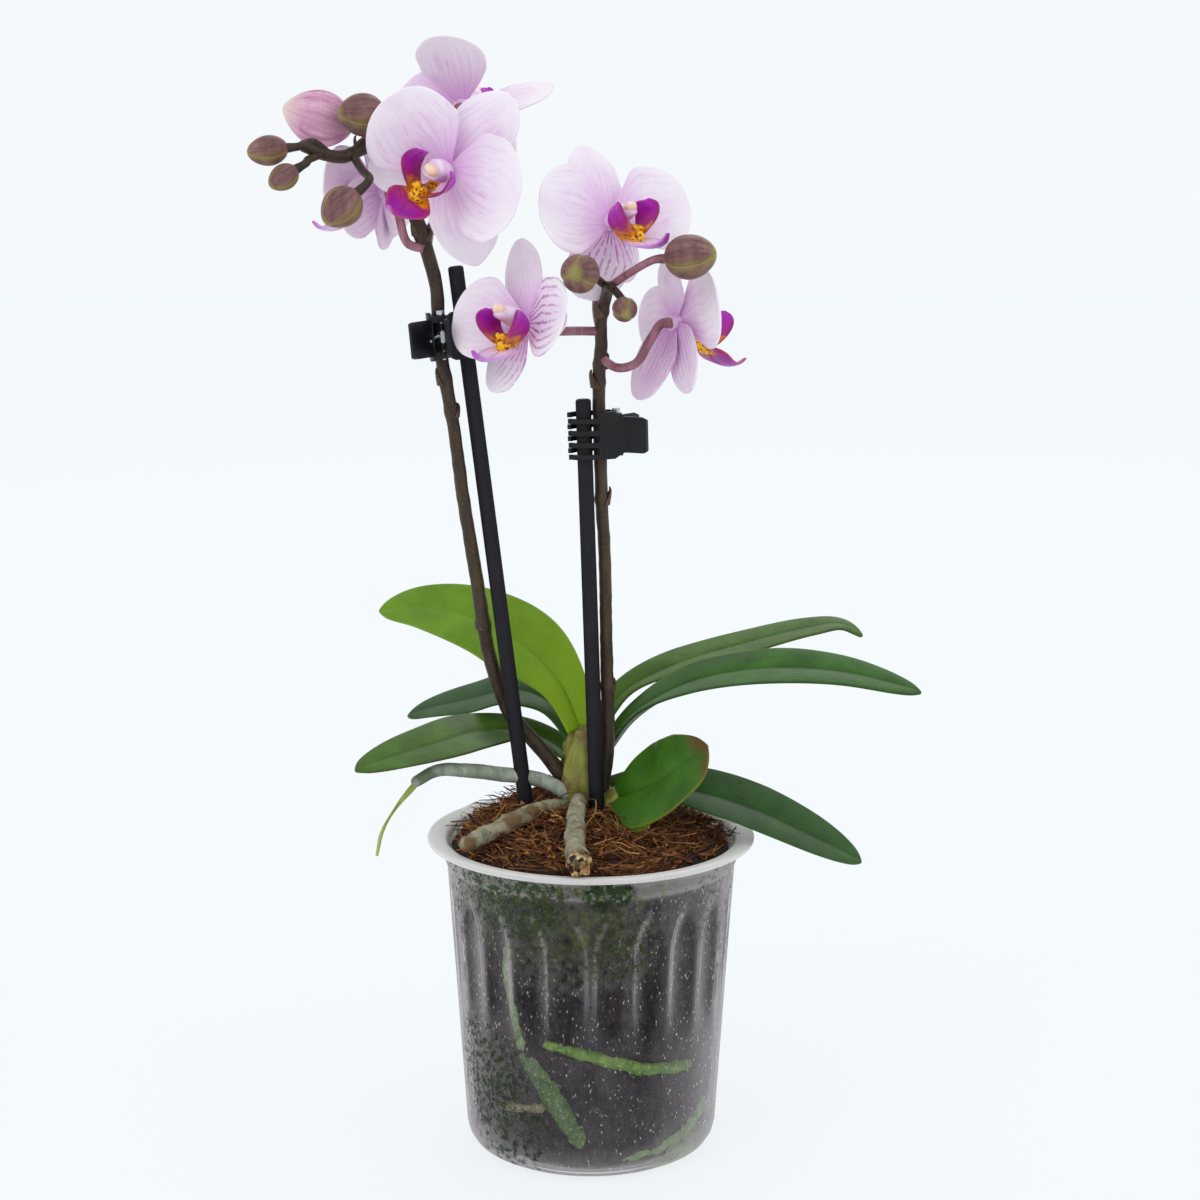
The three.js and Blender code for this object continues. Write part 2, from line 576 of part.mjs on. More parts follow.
// ---------------------------------------------------------------- flower spikes
// A spike: the main stem from the crown to its tip, the bracts on it as [place, degrees, length], and
// the route of the stalk to each bloom and bud, which then ends square against that bloom or bud.
const SPIKES = {
  spike_left: {
    path: [
      [-7, 6, 101], [-13, 6.5, 109], [-18, 7, 114.5], [-22, 6.5, 119.5], [-25, 5, 127], [-28, 3.5, 138],
      [-30.5, 1, 156], [-34, -1.5, 180], [-36.5, -3, 201], [-39.2, -4, 218], [-40, -4, 226], [-40.6, -4, 238],
      [-43, -3, 247], [-46, -1, 256], [-49, 0, 266], [-52.5, -1, 273.5], [-56.5, -5, 276], [-59.4, -11, 273],
      [-63.6, -17, 271.3], [-68.6, -22, 272.3], [-72, -25, 274],
    ],
    radii: [2.2, 1.9, 1.8, 1.7, 1.8, 2, 1.5],
    bracts: [[0.24, 200, 3.5], [0.515, 20, 3.5], [0.556, 180, 4.5], [0.73, 0, 4.5], [0.74, 190, 4], [0.9, 190, 4]],
    stalks: {
      bloom_b: [[-43, -2.6, 247], [-42, 0.4, 253], [-37.5, -3, 260]],
      bloom_c: [[-43.5, -4, 247.5], [-48, -3, 249], [-50, -2, 255]],
      bloom_a: [[-47, -1, 260], [-43, 3, 268], [-38, 6, 277]],
      bud_pink: [[-54, -2, 275], [-57, -0.8, 276.8]],
      bud_upper: [[-55.5, -4.5, 275.6], [-50.5, -8.5, 279]],
      bud_lower: [[-61, -14, 272], [-58, -20, 268], [-55.5, -26, 266]],
      bud_outer: [[-66, -20, 271.8], [-70, -23, 275]],
      bud_tip: [[-68, -22, 272], [-71, -26, 270.5]],
    },
  },
  spike_right: {
    path: [
      [3, 1, 100], [4.6, 0.4, 112], [4.6, 0, 125], [4.2, 0, 142], [3.8, 0, 164], [3, 0, 180], [2.4, -0.6, 199],
      [2.2, -1, 213], [2.8, -3, 222], [2.8, -5, 228.5], [4, -9, 235], [4.6, -14, 238], [5.4, -18, 238.4],
    ],
    radii: [2, 1.8, 1.7, 1.7, 1.75, 1.7, 1.4],
    bracts: [[0.2, 20, 3.5], [0.55, 10, 4.5], [0.765, 200, 4.5], [0.8, 0, 4], [0.9, 210, 4]],
    stalks: {
      bloom_d: [[2.8, -3.6, 225], [1.6, 2, 231], [2, 7, 240], [2.4, 5, 249]],
      bloom_e: [[2.7, -4, 226], [-2, -5.5, 226.2]],
      bloom_f: [[2.6, -2.4, 219], [7, -5, 216.5], [12, -8, 218], [15.6, -9, 224]],
      bud_round: [[4.4, -13, 238], [1.5, -17, 240.6]],
      bud_big: [[5, -16, 238.4], [10, -20, 242]],
      bud_small: [[5.2, -17, 238.4], [7, -18.6, 236.8]],
    },
  },
};

// A small pointed scale that leans out from the stem.
function bract(curve, [place, degrees, length]) {
  const root = curve.getPointAt(place);
  const out = v3(Math.cos(radians(degrees)), Math.sin(radians(degrees)), 0);
  const from = root.clone().addScaledVector(up, -1.5);
  const bend = root.clone().addScaledVector(out, 0.6 * length);
  const tip = root.clone().addScaledVector(out, 0.55 * length).addScaledVector(up, 0.75 * length);
  return stem(new THREE.QuadraticBezierCurve3(from, bend, tip), (t) => mix(2.1, 0.4, t ** 1.4), 2, 4);
}

// Where a stalk ends and the way it heads there.
function stalkEnd(name) {
  if (name in BUDS) return { end: v3(...BUDS[name].base), heading: v3(...BUDS[name].points).normalize() };
  const { at, face } = bloomFrame(BLOOMS[name]);
  return { end: at(0, -0.4, COLUMN_BACK).addScaledVector(face, -GAP), heading: face };
}

function stalkSolid([name, route]) {
  const { end, heading } = stalkEnd(name);
  const radius = name in BUDS ? STALK_RADIUS.bud : STALK_RADIUS.bloom;
  const approach = end.clone().addScaledVector(heading, -2.4);
  return stem(along([...route, approach.toArray(), end.toArray()]), () => radius, 4, 5);
}

function spikeSolid({ path, radii, bracts, stalks }) {
  const curve = along(path);
  const main = stem(curve, through(radii), Math.round(path.length * 1.2), 6);
  return fuse([main, ...Object.entries(stalks).map(stalkSolid), ...bracts.map((b) => bract(curve, b))]);
}

// ---------------------------------------------------------------- stakes and claw clips
const STAKES = {
  stake_left: { foot: [-8.8, 2, 20], head: [-35.6, -1.8, 243] },
  stake_right: { foot: [4.2, -4.4, 18], head: [-2, -2.4, 208] },
};
const stakeSolid = ({ foot, head }, grow) => rod(v3(...foot), v3(...head), STAKE_RADIUS, 10, grow);

// Each clip: its pin's middle, the way the jaws point from it, the pin's direction, and how far each jaw
// is held open by the stems between them.
const CLIPS = {
  clip_right: { pin: [7, -0.9, 198.5], towards: [-1, -0.14, 0], axis: [-0.03, 0.01, 1], open: 2 },
  clip_left: { pin: [-38.65, -9.95, 225], towards: [0.309, 0.951, 0], axis: [-0.09, 0, 1], open: 20 },
};

function clipMatrix({ pin, towards, axis }) {
  const z = v3(...axis).normalize();
  const y = z.clone().cross(v3(...towards)).normalize();
  return new THREE.Matrix4().makeBasis(y.clone().cross(z), y, z).setPosition(...pin);
}

// Seen from the side of the clip, the paddle is a rounded square and the claws reach the full height.
function jawSilhouette() {
  const { height, reach, paddle, paddleAngle, paddleHeight } = CLIP;
  const half = paddleHeight / 2;
  const end = -paddle * Math.cos(radians(paddleAngle)) - 1;
  const upper = [[reach + 1, height / 2], [1.2, height / 2], [-1.4, half], [end + 2.4, half], [end + 0.7, half - 0.9],
    [end, half - 2.6]];
  const outline = [...upper, ...upper.toReversed().map(([x, z]) => [x, -z])];
  return prism(outline, 40).rotate([90, 0, 0]);
}

// The bent strip that a jaw is cut from: its inner line, then the same line one plate thickness out.
function jawStrip(side) {
  const { halfWidth, reach, paddle, paddleAngle, plate, height } = CLIP;
  const tail = [-paddle * Math.cos(radians(paddleAngle)), 0.6 + paddle * Math.sin(radians(paddleAngle))];
  const knots = [tail, [-2.2, 2.7], [0, 2.25], [3, halfWidth - 0.1], [reach - 5.2, halfWidth],
    [reach - 1.6, halfWidth - 1.4], [reach, -0.4]];
  const line = new THREE.SplineCurve(knots.map(([x, y]) => new THREE.Vector2(x, y)));
  const steps = 6;
  const inner = [];
  const outer = [];
  for (let i = 0; i <= steps; i++) {
    const at = line.getPoint(i / steps);
    const tangent = line.getTangent(i / steps);
    inner.push([at.x, side * at.y]);
    outer.push([at.x - plate * tangent.y, side * (at.y + plate * tangent.x)]);
  }
  return prism([...inner, ...outer.toReversed()], height);
}

// One jaw in the clip's own frame: x towards the claws, y from jaw to jaw and z along the pin.
function jawSolid(side, open) {
  const { height, combStart, toothHeight, toothPitch, teeth, knuckleHeight, knuckleRadius, knuckleHole } = CLIP;
  const isOuter = side > 0;
  const knuckles = (isOuter ? [3.9, -3.9 - knuckleHeight] : [1.8, -1.8 - knuckleHeight]).flatMap((low) => [
    box([-1.1, isOuter ? 0 : -2.7, low], [1.1, isOuter ? 2.7 : 0, low + knuckleHeight]),
    rod(v3(0, 0, low), v3(0, 0, low + knuckleHeight), knuckleRadius, 6),
  ]);
  const lowest = -height / 2 + (isOuter ? 0 : toothPitch / 2);
  const slots = Array.from({ length: teeth + 1 }, (_, k) => {
    const low = lowest + (k - 1) * toothPitch + toothHeight;
    return box([combStart, -12, low], [20, 12, low + toothPitch - toothHeight]);
  });
  const strip = jawStrip(side).intersect(jawSilhouette());
  const bore = rod(v3(0, 0, -height), v3(0, 0, height), knuckleHole, 6);
  return cut(fuse([strip, ...knuckles]), [bore, ...slots]).rotate([0, 0, side * open]);
}

// The pin with its wire spring, whose one leg lies along the inside of the first jaw's paddle.
function pinSolid(open) {
  const { pinRadius, springRadius, knuckleHeight, legRadius, paddleAngle } = CLIP;
  const half = 3.9 + knuckleHeight + 0.4;
  const angle = radians(180 - paddleAngle + open);
  const leg = rod(
    v3(0, 0.9, 0.6),
    v3(5.4 * Math.cos(angle), 5.4 * Math.sin(angle) - 0.9, -0.6),
    legRadius,
    6,
  );
  return fuse([
    rod(v3(0, 0, -half), v3(0, 0, half), pinRadius),
    rod(v3(0, 0, -1.4), v3(0, 0, 1.4), springRadius),
    rod(v3(0, 0, half - 0.1), v3(0, 0, half + 0.9), 1.1),
    leg,
  ]);
}

// ---------------------------------------------------------------- materials
const finish = (color, roughness) => new THREE.MeshStandardMaterial({ color, roughness, metalness: 0 });
const materials = {
  pot: new THREE.MeshStandardMaterial({
    color: 0xdad8d4, roughness: 0.35, metalness: 0, transparent: true, opacity: 0.4,
  }),
  coir: finish(0x6b3a1e, 0.95),
  crown: finish(0x9aa84a, 0.5),
  leaf: finish(0x35682c, 0.4),
  youngLeaf: finish(0x7fb52e, 0.4),
  root: finish(0x9ba394, 0.8),
  wallRoot: finish(0x6f9a3c, 0.6),
  spike: finish(0x3b2e22, 0.6),
  bud: finish(0x8a7055, 0.55),
  pinkBud: finish(0xd59cc0, 0.5),
  petal: finish(0xe6dceb, 0.5),
  lip: finish(0xa80fa0, 0.45),
  plastic: finish(0x1b1820, 0.4),
  wire: new THREE.MeshStandardMaterial({ color: 0xb9bcc0, roughness: 0.3, metalness: 1 }),
};

function meshOf(name, solid, material) {
  const { numProp, vertProperties, triVerts } = solid.getMesh();
  const geometry = new THREE.BufferGeometry()
    .setAttribute('position', new THREE.BufferAttribute(vertProperties, numProp))
    .setIndex(new THREE.BufferAttribute(triVerts, 1));
  geometry.computeVertexNormals();
  const mesh = new THREE.Mesh(geometry, material);
  mesh.name = name;
  return mesh;
}

// ---------------------------------------------------------------- assembly
const plant = new THREE.Group();
const each = (table, make) => Object.entries(table).map(([name, entry]) => plant.add(make(name, entry)));

const grownStakes = Object.values(STAKES).map((stake) => stakeSolid(stake, GAP));
const grownRoots = Object.values(ROOTS).map((root) => rootSolid(root, GAP));
const grownWallRoots = Object.values(WALL_ROOTS).map((root) => wallRootSolid(root, GAP));
const grownCrown = crownSolid(GAP + 0.1);
const holesInCoir = [grownCrown, ...grownStakes, ...grownRoots, ...grownWallRoots];

plant.add(meshOf('pot', potSolid(), materials.pot));
plant.add(meshOf('coir', cut(coirSolid(), holesInCoir), materials.coir));
plant.add(meshOf('crown', cut(crownSolid(0), grownStakes), materials.crown));
each(LEAVES, (name, leaf) => meshOf(
  name,
  cut(leafSolid(leaf), [grownCrown]),
  name === 'leaf_left_top' ? materials.youngLeaf : materials.leaf,
));
each(ROOTS, (name, root) => meshOf(name, cut(rootSolid(root, 0), [grownCrown, ...grownStakes]), materials.root));
each(WALL_ROOTS, (name, root) => meshOf(name, wallRootSolid(root, 0), materials.wallRoot));
each(STAKES, (name, stake) => meshOf(name, stakeSolid(stake, 0), materials.plastic));
each(SPIKES, (name, spike) => meshOf(name, cut(spikeSolid(spike), [grownCrown]), materials.spike));
each(BUDS, (name, bud) => meshOf(name, budSolid(bud), name === 'bud_pink' ? materials.pinkBud : materials.bud));
each(BLOOMS, (name, bloom) => meshOf(name, bloomSolid(bloom), materials.petal));
each(BLOOMS, (name, bloom) => meshOf(`${name}_lip`, lipSolid(bloom), materials.lip));

for (const [name, clip] of Object.entries(CLIPS)) {
  const holder = new THREE.Group();
  holder.applyMatrix4(clipMatrix(clip));
  holder.add(meshOf(`${name}_jaw`, jawSolid(1, clip.open), materials.plastic));
  holder.add(meshOf(`${name}_moving_jaw`, jawSolid(-1, clip.open), materials.plastic));
  holder.add(meshOf(`${name}_spring`, pinSolid(clip.open), materials.wire));
  plant.add(holder);
}

export default plant;
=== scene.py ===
import math
import random
from functools import partial

import bpy
import numpy as np
from mathutils import Matrix, Vector, noise


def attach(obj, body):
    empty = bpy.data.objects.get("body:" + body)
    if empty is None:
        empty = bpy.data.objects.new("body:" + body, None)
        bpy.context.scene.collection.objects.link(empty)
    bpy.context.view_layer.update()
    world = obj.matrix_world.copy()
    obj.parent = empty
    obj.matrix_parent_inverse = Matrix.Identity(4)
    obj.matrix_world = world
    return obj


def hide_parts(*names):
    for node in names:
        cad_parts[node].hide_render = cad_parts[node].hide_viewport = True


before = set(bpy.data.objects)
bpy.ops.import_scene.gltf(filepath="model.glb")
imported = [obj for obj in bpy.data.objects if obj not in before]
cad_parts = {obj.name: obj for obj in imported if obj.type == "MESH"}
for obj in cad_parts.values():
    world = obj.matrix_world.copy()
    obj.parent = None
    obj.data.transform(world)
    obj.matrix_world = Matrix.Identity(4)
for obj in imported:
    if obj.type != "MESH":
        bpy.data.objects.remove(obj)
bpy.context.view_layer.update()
print("frame loaded")

mm = 0.001  # all sizes below are in millimetres, and Blender works in metres


# numbers and curves
def mix(low, high, share):
    return low + (high - low) * share


def smooth(value, low, high):
    share = min(1, max(0, (value - low) / (high - low)))
    return share * share * (3 - 2 * share)


def through(values, share):
    place = min(1, max(0, share)) * (len(values) - 1)
    low = min(int(place), len(values) - 2)
    return mix(values[low], values[low + 1], place - low)


def smoothPath(points, steps):
    # evenly spaced places on the smooth curve that runs through these points
    knots = [Vector(p) for p in points]
    knots = [2 * knots[0] - knots[1], *knots, 2 * knots[-1] - knots[-2]]
    fine = []
    for p0, p1, p2, p3 in zip(knots, knots[1:], knots[2:], knots[3:]):
        d0, d1, d2 = ((b - a).length ** 0.5 for a, b in ((p0, p1), (p1, p2), (p2, p3)))
        start = ((p1 - p0) / d0 - (p2 - p0) / (d0 + d1) + (p2 - p1) / d1) * d1
        end = ((p2 - p1) / d1 - (p3 - p1) / (d1 + d2) + (p3 - p2) / d2) * d1
        for k in range(40):
            t = k / 40
            fine.append((2 * t**3 - 3 * t**2 + 1) * p1 + (t**3 - 2 * t**2 + t) * start
                        + (3 * t**2 - 2 * t**3) * p2 + (t**3 - t**2) * end)
    fine.append(knots[-2])
    lengths = np.concatenate([[0], np.cumsum([(b - a).length for a, b in zip(fine, fine[1:])])])
    wanted = np.linspace(0, lengths[-1], steps + 1)
    columns = [np.interp(wanted, lengths, [p[axis] for p in fine]) for axis in range(3)]
    return [Vector(p) for p in zip(*columns)]


# objects
def deselectAll():
    bpy.ops.object.select_all(action="DESELECT")


def inEditMode(*steps):
    # runs these operators on the active piece in edit mode
    bpy.ops.object.mode_set(mode="EDIT")
    for step in steps:
        step()
    bpy.ops.object.mode_set(mode="OBJECT")


def selectAll():
    bpy.ops.mesh.select_all(action="SELECT")


def mergeDoubles():
    bpy.ops.mesh.remove_doubles(threshold=1e-6)


def turnOutwards():
    bpy.ops.mesh.normals_make_consistent(inside=False)


def selectFaces(piece, isWanted):
    inEditMode(lambda: bpy.ops.mesh.select_all(action="DESELECT"))
    for face in piece.data.polygons:
        face.select = isWanted(face.normal)


def makeActive(piece):
    deselectAll()
    piece.select_set(True)
    bpy.context.view_layer.objects.active = piece


def placeInMesh(piece):
    bpy.context.view_layer.update()
    piece.data.transform(piece.matrix_world)
    piece.matrix_world = Matrix.Identity(4)


def applyModifier(piece, kind, **settings):
    makeActive(piece)
    modifier = piece.modifiers.new(kind.title(), kind)
    for key, value in settings.items():
        setattr(modifier, key, value)
    bpy.ops.object.modifier_apply(modifier=modifier.name)


def moveVertices(piece, newPlace):
    for vertex in piece.data.vertices:
        vertex.co = newPlace(vertex.co.copy())
    piece.data.update()


def roughen(piece, bumpSize, depth, seed=0):
    # pushes the surface in and out along its normals in soft lumps of this size
    piece.data.update()
    normals = [v.normal.copy() for v in piece.data.vertices]
    for vertex, normal in zip(piece.data.vertices, normals):
        lump = noise.noise(vertex.co / (bumpSize * mm) + Vector((seed, 0, 0)))
        vertex.co += normal * lump * depth * mm
    piece.data.update()


def joinPieces(pieces):
    deselectAll()
    for piece in pieces:
        piece.select_set(True)
    bpy.context.view_layer.objects.active = pieces[0]
    bpy.ops.object.join()
    return pieces[0]


def setMaterials(piece, *materials):
    piece.data.materials.clear()
    for material in materials:
        piece.data.materials.append(material)


def finishPiece(piece, name, nodes, body="plant", angle=50):
    piece.name = piece.data.name = name
    placeInMesh(piece)
    makeActive(piece)
    bpy.ops.object.shade_smooth_by_angle(angle=math.radians(angle))
    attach(piece, body)
    if nodes:
        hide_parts(*nodes)
    return piece


def tube(points, radius, steps=24, sides=12, roundStart=False, roundEnd=False):
    # a round stem along the curve: radius(t) is its radius in mm, and its ends can be domed
    centres = smoothPath(points, steps)
    stations = [(centre, radius(k / steps)) for k, centre in enumerate(centres)]
    for wanted, isEnd in ((roundStart, False), (roundEnd, True)):
        if wanted:
            end, size = stations[-1] if isEnd else stations[0]
            other = stations[-2][0] if isEnd else stations[1][0]
            out = (end - other).normalized()
            dome = [(end + out * size * math.sin(a), size * max(0.06, math.cos(a)))
                    for a in (0.5, 0.95, 1.3, 1.52)]
            stations = stations + dome if isEnd else dome[::-1] + stations
    bpy.ops.curve.primitive_bezier_curve_add(location=(0, 0, 0))
    piece = bpy.context.object
    curve = piece.data
    curve.splines.clear()
    spline = curve.splines.new("POLY")
    spline.points.add(len(stations) - 1)
    for point, (centre, size) in zip(spline.points, stations):
        point.co = (*(centre * mm), 1)
        point.radius = size
    curve.dimensions = "3D"
    curve.bevel_depth = mm
    curve.bevel_resolution = sides // 2 - 2
    curve.use_fill_caps = True
    makeActive(piece)
    bpy.ops.object.convert(target="MESH")
    return bpy.context.object


def sheet(rows, columns, place):
    # a grid whose points go to place(u, v): u from 0 to 1 along it, v from -1 to 1 across it
    bpy.ops.mesh.primitive_grid_add(x_subdivisions=rows, y_subdivisions=columns, size=2, location=(0, 0, 0))
    piece = bpy.context.object
    moveVertices(piece, lambda co: Vector(place((co.x + 1) / 2, co.y)))
    return piece


def copyOfNode(name, voxel=None, relax=0):
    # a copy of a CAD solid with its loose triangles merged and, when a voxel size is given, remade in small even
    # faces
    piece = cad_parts[name].copy()
    piece.data = piece.data.copy()
    piece.parent = None
    bpy.context.collection.objects.link(piece)
    makeActive(piece)
    inEditMode(selectAll, mergeDoubles)
    if voxel:
        applyModifier(piece, "REMESH", mode="VOXEL", voxel_size=voxel * mm)
    if relax:
        applyModifier(piece, "SMOOTH", factor=0.5, iterations=relax)
    return piece


# materials: looks give their colours as sRGB hex values
metre = 1000  # in mm: a pattern's scale is a metre over the size of its grain in mm


def hexColour(code):
    values = [int(code[i:i + 2], 16) / 255 for i in (1, 3, 5)]
    return (*[v / 12.92 if v <= 0.04045 else ((v + 0.055) / 1.055) ** 2.4 for v in values], 1)


def addNode(tree, kind, *values, **settings):
    # values go to the sockets in use, in order; a setting is a property, a socket by name or the stops of a ramp,
    # greys or colours; the first output in use comes back
    node = tree.nodes.new("ShaderNode" + kind)
    for key in [key for key in settings if key in node.bl_rna.properties]:
        setattr(node, key, settings.pop(key))
    if "stops" in settings:
        stops, elements = settings.pop("stops"), node.color_ramp.elements
        while len(elements) < len(stops):
            elements.new(1)
        for element, (position, shade) in zip(elements, stops):
            element.position = position
            element.color = hexColour(shade) if isinstance(shade, str) else (shade, shade, shade, 1)
    inUse = [socket for socket in node.inputs if socket.enabled]
    named = [(node.inputs[key], value) for key, value in settings.items()]
    for socket, value in [*zip(inUse, values), *named]:
        if isinstance(value, bpy.types.NodeSocket):
            tree.links.new(value, socket)
        else:
            socket.default_value = hexColour(value) if isinstance(value, str) else value
    return next((socket for socket in node.outputs if socket.enabled), None)


def newMaterial(name):
    # the material, what adds a node to it, and the coordinates of a point on the piece
    material = bpy.data.materials.new(name)
    material.use_nodes = True
    material.node_tree.nodes.clear()
    add = partial(addNode, material.node_tree)
    return material, add, add("TexCoord").node.outputs


def overlap(add, *patterns):
    # each pattern is read through its own ramp, and the product is high only where all of them are
    share = None
    for pattern, stops in patterns:
        level = add("ValToRGB", pattern, stops=stops)
        share = level if share is None else add("Math", share, level, operation="MULTIPLY")
    return share


def layColours(add, colour, *layers):
    # each layer is a colour laid over those before it, where the patterns that follow it overlap
    for shade, *patterns in layers:
        colour = add("Mix", overlap(add, *patterns), colour, shade, data_type="RGBA")
    return colour


def finishMaterial(add, settings, height, bump, depth):
    # the shader over a relief of this height pattern, strength and depth in mm
    relief = add("Bump", Strength=bump, Distance=depth * mm, Height=height)
    shader = add("BsdfPrincipled", Normal=relief, **settings)
    add("OutputMaterial", Surface=shader)


def skinMaterial(name, look):
    # Stem, bud and root skins: living or dried skin, satin to matt, in two shades that streak along the growth,
    # with pores drawn coarser than real ones so that they show, and seams where a look asks
    material, add, place = newMaterial(name)
    stretched = add("Mapping", place["Object"], Scale=look.get("stretch", (1, 1, 0.25)))
    streaks = add("TexNoise", stretched, metre / look["streak"], 4, 0.55)
    pores = add("TexNoise", place["Object"], metre / look["pore"], 2, 0.55)
    colour = layColours(add, look["dark"], (look["light"], (streaks, ((0.34, 0), (0.66, 1)))),
                        (look["poreColour"], (pores, ((0.6, 0), (0.68, look["poreShare"])))))
    if "patch" in look:
        patches = add("TexNoise", place["Object"], metre / look["patchSize"], 4, 0.55)
        colour = layColours(add, colour, (look["patch"], (patches, ((0.5, 0), (0.6, 1)))))
    if "seam" in look:
        around, along, crease = [add("Attribute", attribute_name=key).node.outputs["Fac"] for key in budLayers]
        lines = add("CombineXYZ", around, add("Math", along, 0.06, operation="MULTIPLY"))
        stripes = add("TexNoise", lines, look["stripes"], 3, 0.6)
        colour = layColours(
            add, colour,
            (look["stripe"], (stripes, ((0.42, 0), (0.62, look["stripeShare"])))),
            (look["flank"], (crease, ((0.05, 0.9), (0.55, 0))), (streaks, ((0.3, 0.4), (0.6, 1)))),
            (look["tip"], (along, look["tipPlace"])),
            (look["seam"], (crease, ((0.015, look["seamShare"]), (look["seamWidth"], 0)))))
    finishMaterial(add, {"Base Color": colour, "Roughness": look["roughness"], "IOR": 1.4}, pores, look["bump"], 0.3)
    return material


# the pot: outlines are radius and height in mm, from its base up the outside and back down the inside
pot = {
    "wall": 0.8, "baseRadius": 34.8, "topRadius": 39.7, "cornerRise": 6, "collarBottom": 81, "sides": 360,
    "flutes": 22, "fluteDepth": 1.3, "fluteWidth": 0.82, "fluteBottom": (34, 50), "fluteTop": 76, "archDrop": 13,
    "corner": [(28, 0), (30.6, 0.35), (32.9, 1.6), (34.2, 3.6)],
    "rim": [(40.05, 81), (40.2, 81.6), (40.35, 85.0), (40.9, 85.9), (44.4, 86.6), (44.95, 86.9), (45, 87.4),
            (44.8, 87.85), (44.2, 88), (40.6, 87.6), (39.7, 87.0)],
    "innerCollar": [(39.2, 84.6), (39.0, 81.6), (38.5, 80.8)],
    "innerCorner": [(33.3, 3.9), (32.2, 2.4), (30.4, 1.4), (28, 1.0)],
    "floorRadius": 25, "floorThickness": 1.0, "drains": 6, "drainRadius": 3, "drainCircle": 20,
    # how milky the wall is: least, most and seen edge on; then the painted highlight along one crease of each
    # flute, drawn as extra milkiness, and how much of it is left near the middle
    "clearest": 0.01, "milkiest": 0.07, "grazing": 0.55, "fold": 0.34, "highlightNearMiddle": 0.55,
    # extra milkiness by height, where 1 is 100 mm: base, wall, collar and rim
    "bands": ((0, 0.3), (0.04, 0.14), (0.1, 0), (0.798, 0), (0.806, 0.24), (0.811, 0.46), (0.82, 0.26),
              (0.852, 0.24), (0.86, 0.72), (1, 0.74)),
    "haze": "#ABA4A5", "rimColour": "#DEDBD8", "speckColour": "#E9ECE8", "speckShare": 0.42,
    # algae: where, its reach, the size of its tufts in mm, how dense (lower is denser), its colour and strength
    "algae": [((-31, -24, 27), 20, 1.6, 0.5, "#22321A", 0.9), ((-24, -29, 14), 20, 2.2, 0.51, "#26361E", 0.75),
              ((-4, -39, 84), 34, 2.6, 0.5, "#6A7446", 0.4), ((5, -40, 83.5), 8, 1.8, 0.43, "#22361A", 0.9),
              ((-20, -34, 83), 20, 1.6, 0.48, "#2E4426", 0.7), ((8, -38, 67), 13, 1.8, 0.5, "#38421C", 0.65),
              ((-8, -38, 71), 22, 2.2, 0.52, "#3C3E20", 0.45), ((-33, -20, 76), 16, 1.5, 0.53, "#2E3E26", 0.7),
              ((24, -24, 1), 15, 7, 0.42, "#A4A99A", 0.32), ((36, -14, 72), 28, 1.5, 0.56, "#3B4A30", 0.7),
              ((30, 26, 40), 34, 2.4, 0.53, "#36482C", 0.6), ((-28, 28, 62), 30, 2.4, 0.53, "#46602C", 0.6),
              ((6, 36, 16), 26, 2.6, 0.52, "#3E5836", 0.6)],
}


def potMaterial():
    # Clear polypropylene, thermoformed thin: milky where it stands off the damp filling and clear where the flutes
    # press against it, with green algae and dried water specks, drawn coarser than real, on its inside, and a
    # painted highlight, drawn as extra milkiness, along the crease of each flute nearer the middle
    material, add, place = newMaterial("Thermoformed clear polypropylene")
    z = add("SeparateXYZ", place["Object"]).node.outputs["Z"]
    height = add("Math", z, 10, operation="MULTIPLY")  # 1 is 100 mm up
    channel, fold = [add("Attribute", attribute_name=key).node.outputs["Fac"] for key in ("channel", "fold")]
    upright = add("Mapping", place["Object"], Scale=(1, 1, 0.55))
    cloud = add("TexNoise", upright, metre / 11, 7, 0.68)
    alpha = add("ValToRGB", cloud, stops=((0.36, pot["clearest"]), (0.68, pot["milkiest"])))
    facing = add("LayerWeight", 0.5).node.outputs["Facing"]
    edgeOn = add("ValToRGB", facing, stops=((0.16, 0), (0.4, 0.12), (0.62, 0.34), (0.95, pot["grazing"])))
    alpha = add("Math", alpha, edgeOn, operation="ADD")
    alpha = add("Math", channel, -0.05, alpha, operation="MULTIPLY_ADD")
    # painted highlight: the fold attribute adds milkiness along the crease nearer the middle of each flute
    alpha = add("Math", fold, pot["fold"], alpha, operation="MULTIPLY_ADD", use_clamp=True)
    alpha = add("Math", alpha, add("ValToRGB", height, stops=pot["bands"]), operation="ADD", use_clamp=True)
    dashes = add("Mapping", place["Object"], Scale=(1, 1, 0.3))
    drops = add("TexVoronoi", dashes, metre / 0.7)
    sparse = add("TexNoise", place["Object"], metre / 2.2, 3, 0.55)
    speck = overlap(add, (drops, ((0.14, 1), (0.26, 0))), (sparse, ((0.5, 0.1), (0.6, 1))),
                    (height, ((0.8, 1), (0.84, 0))))
    colour = layColours(add, pot["haze"], (pot["rimColour"], (height, ((0.835, 0), (0.865, 1)))),
                        (pot["speckColour"], (speck, ((0, 0), (1, 1)))))
    alpha = add("Math", speck, pot["speckShare"], alpha, operation="MULTIPLY_ADD", use_clamp=True)
    for spot, reach, tuft, low, shade, strength in pot["algae"]:
        gap = add("VectorMath", place["Object"], [v * mm for v in spot], operation="DISTANCE")
        near = add("MapRange", gap, reach * 0.35 * mm, reach * mm, 1, 0)
        tufts = add("TexNoise", place["Object"], metre / tuft, 5, 0.7)
        share = overlap(add, (near, ((0, 0), (1, strength))), (tufts, ((low, 0), (low + 0.08, 1))),
                        (height, ((0.84, 1), (0.858, 0))))
        colour = layColours(add, colour, (shade, (share, ((0, 0), (0.3, 1)))))
        alpha = add("Math", share, 0.75, alpha, operation="MULTIPLY_ADD", use_clamp=True)
    ripple = add("TexNoise", place["Object"], metre / 5, 3, 0.55)
    finishMaterial(add, {"Base Color": colour, "Roughness": 0.42, "IOR": 1.49, "Specular IOR Level": 0.12,
                         "Alpha": alpha}, ripple, 0.08, 0.3)
    return material


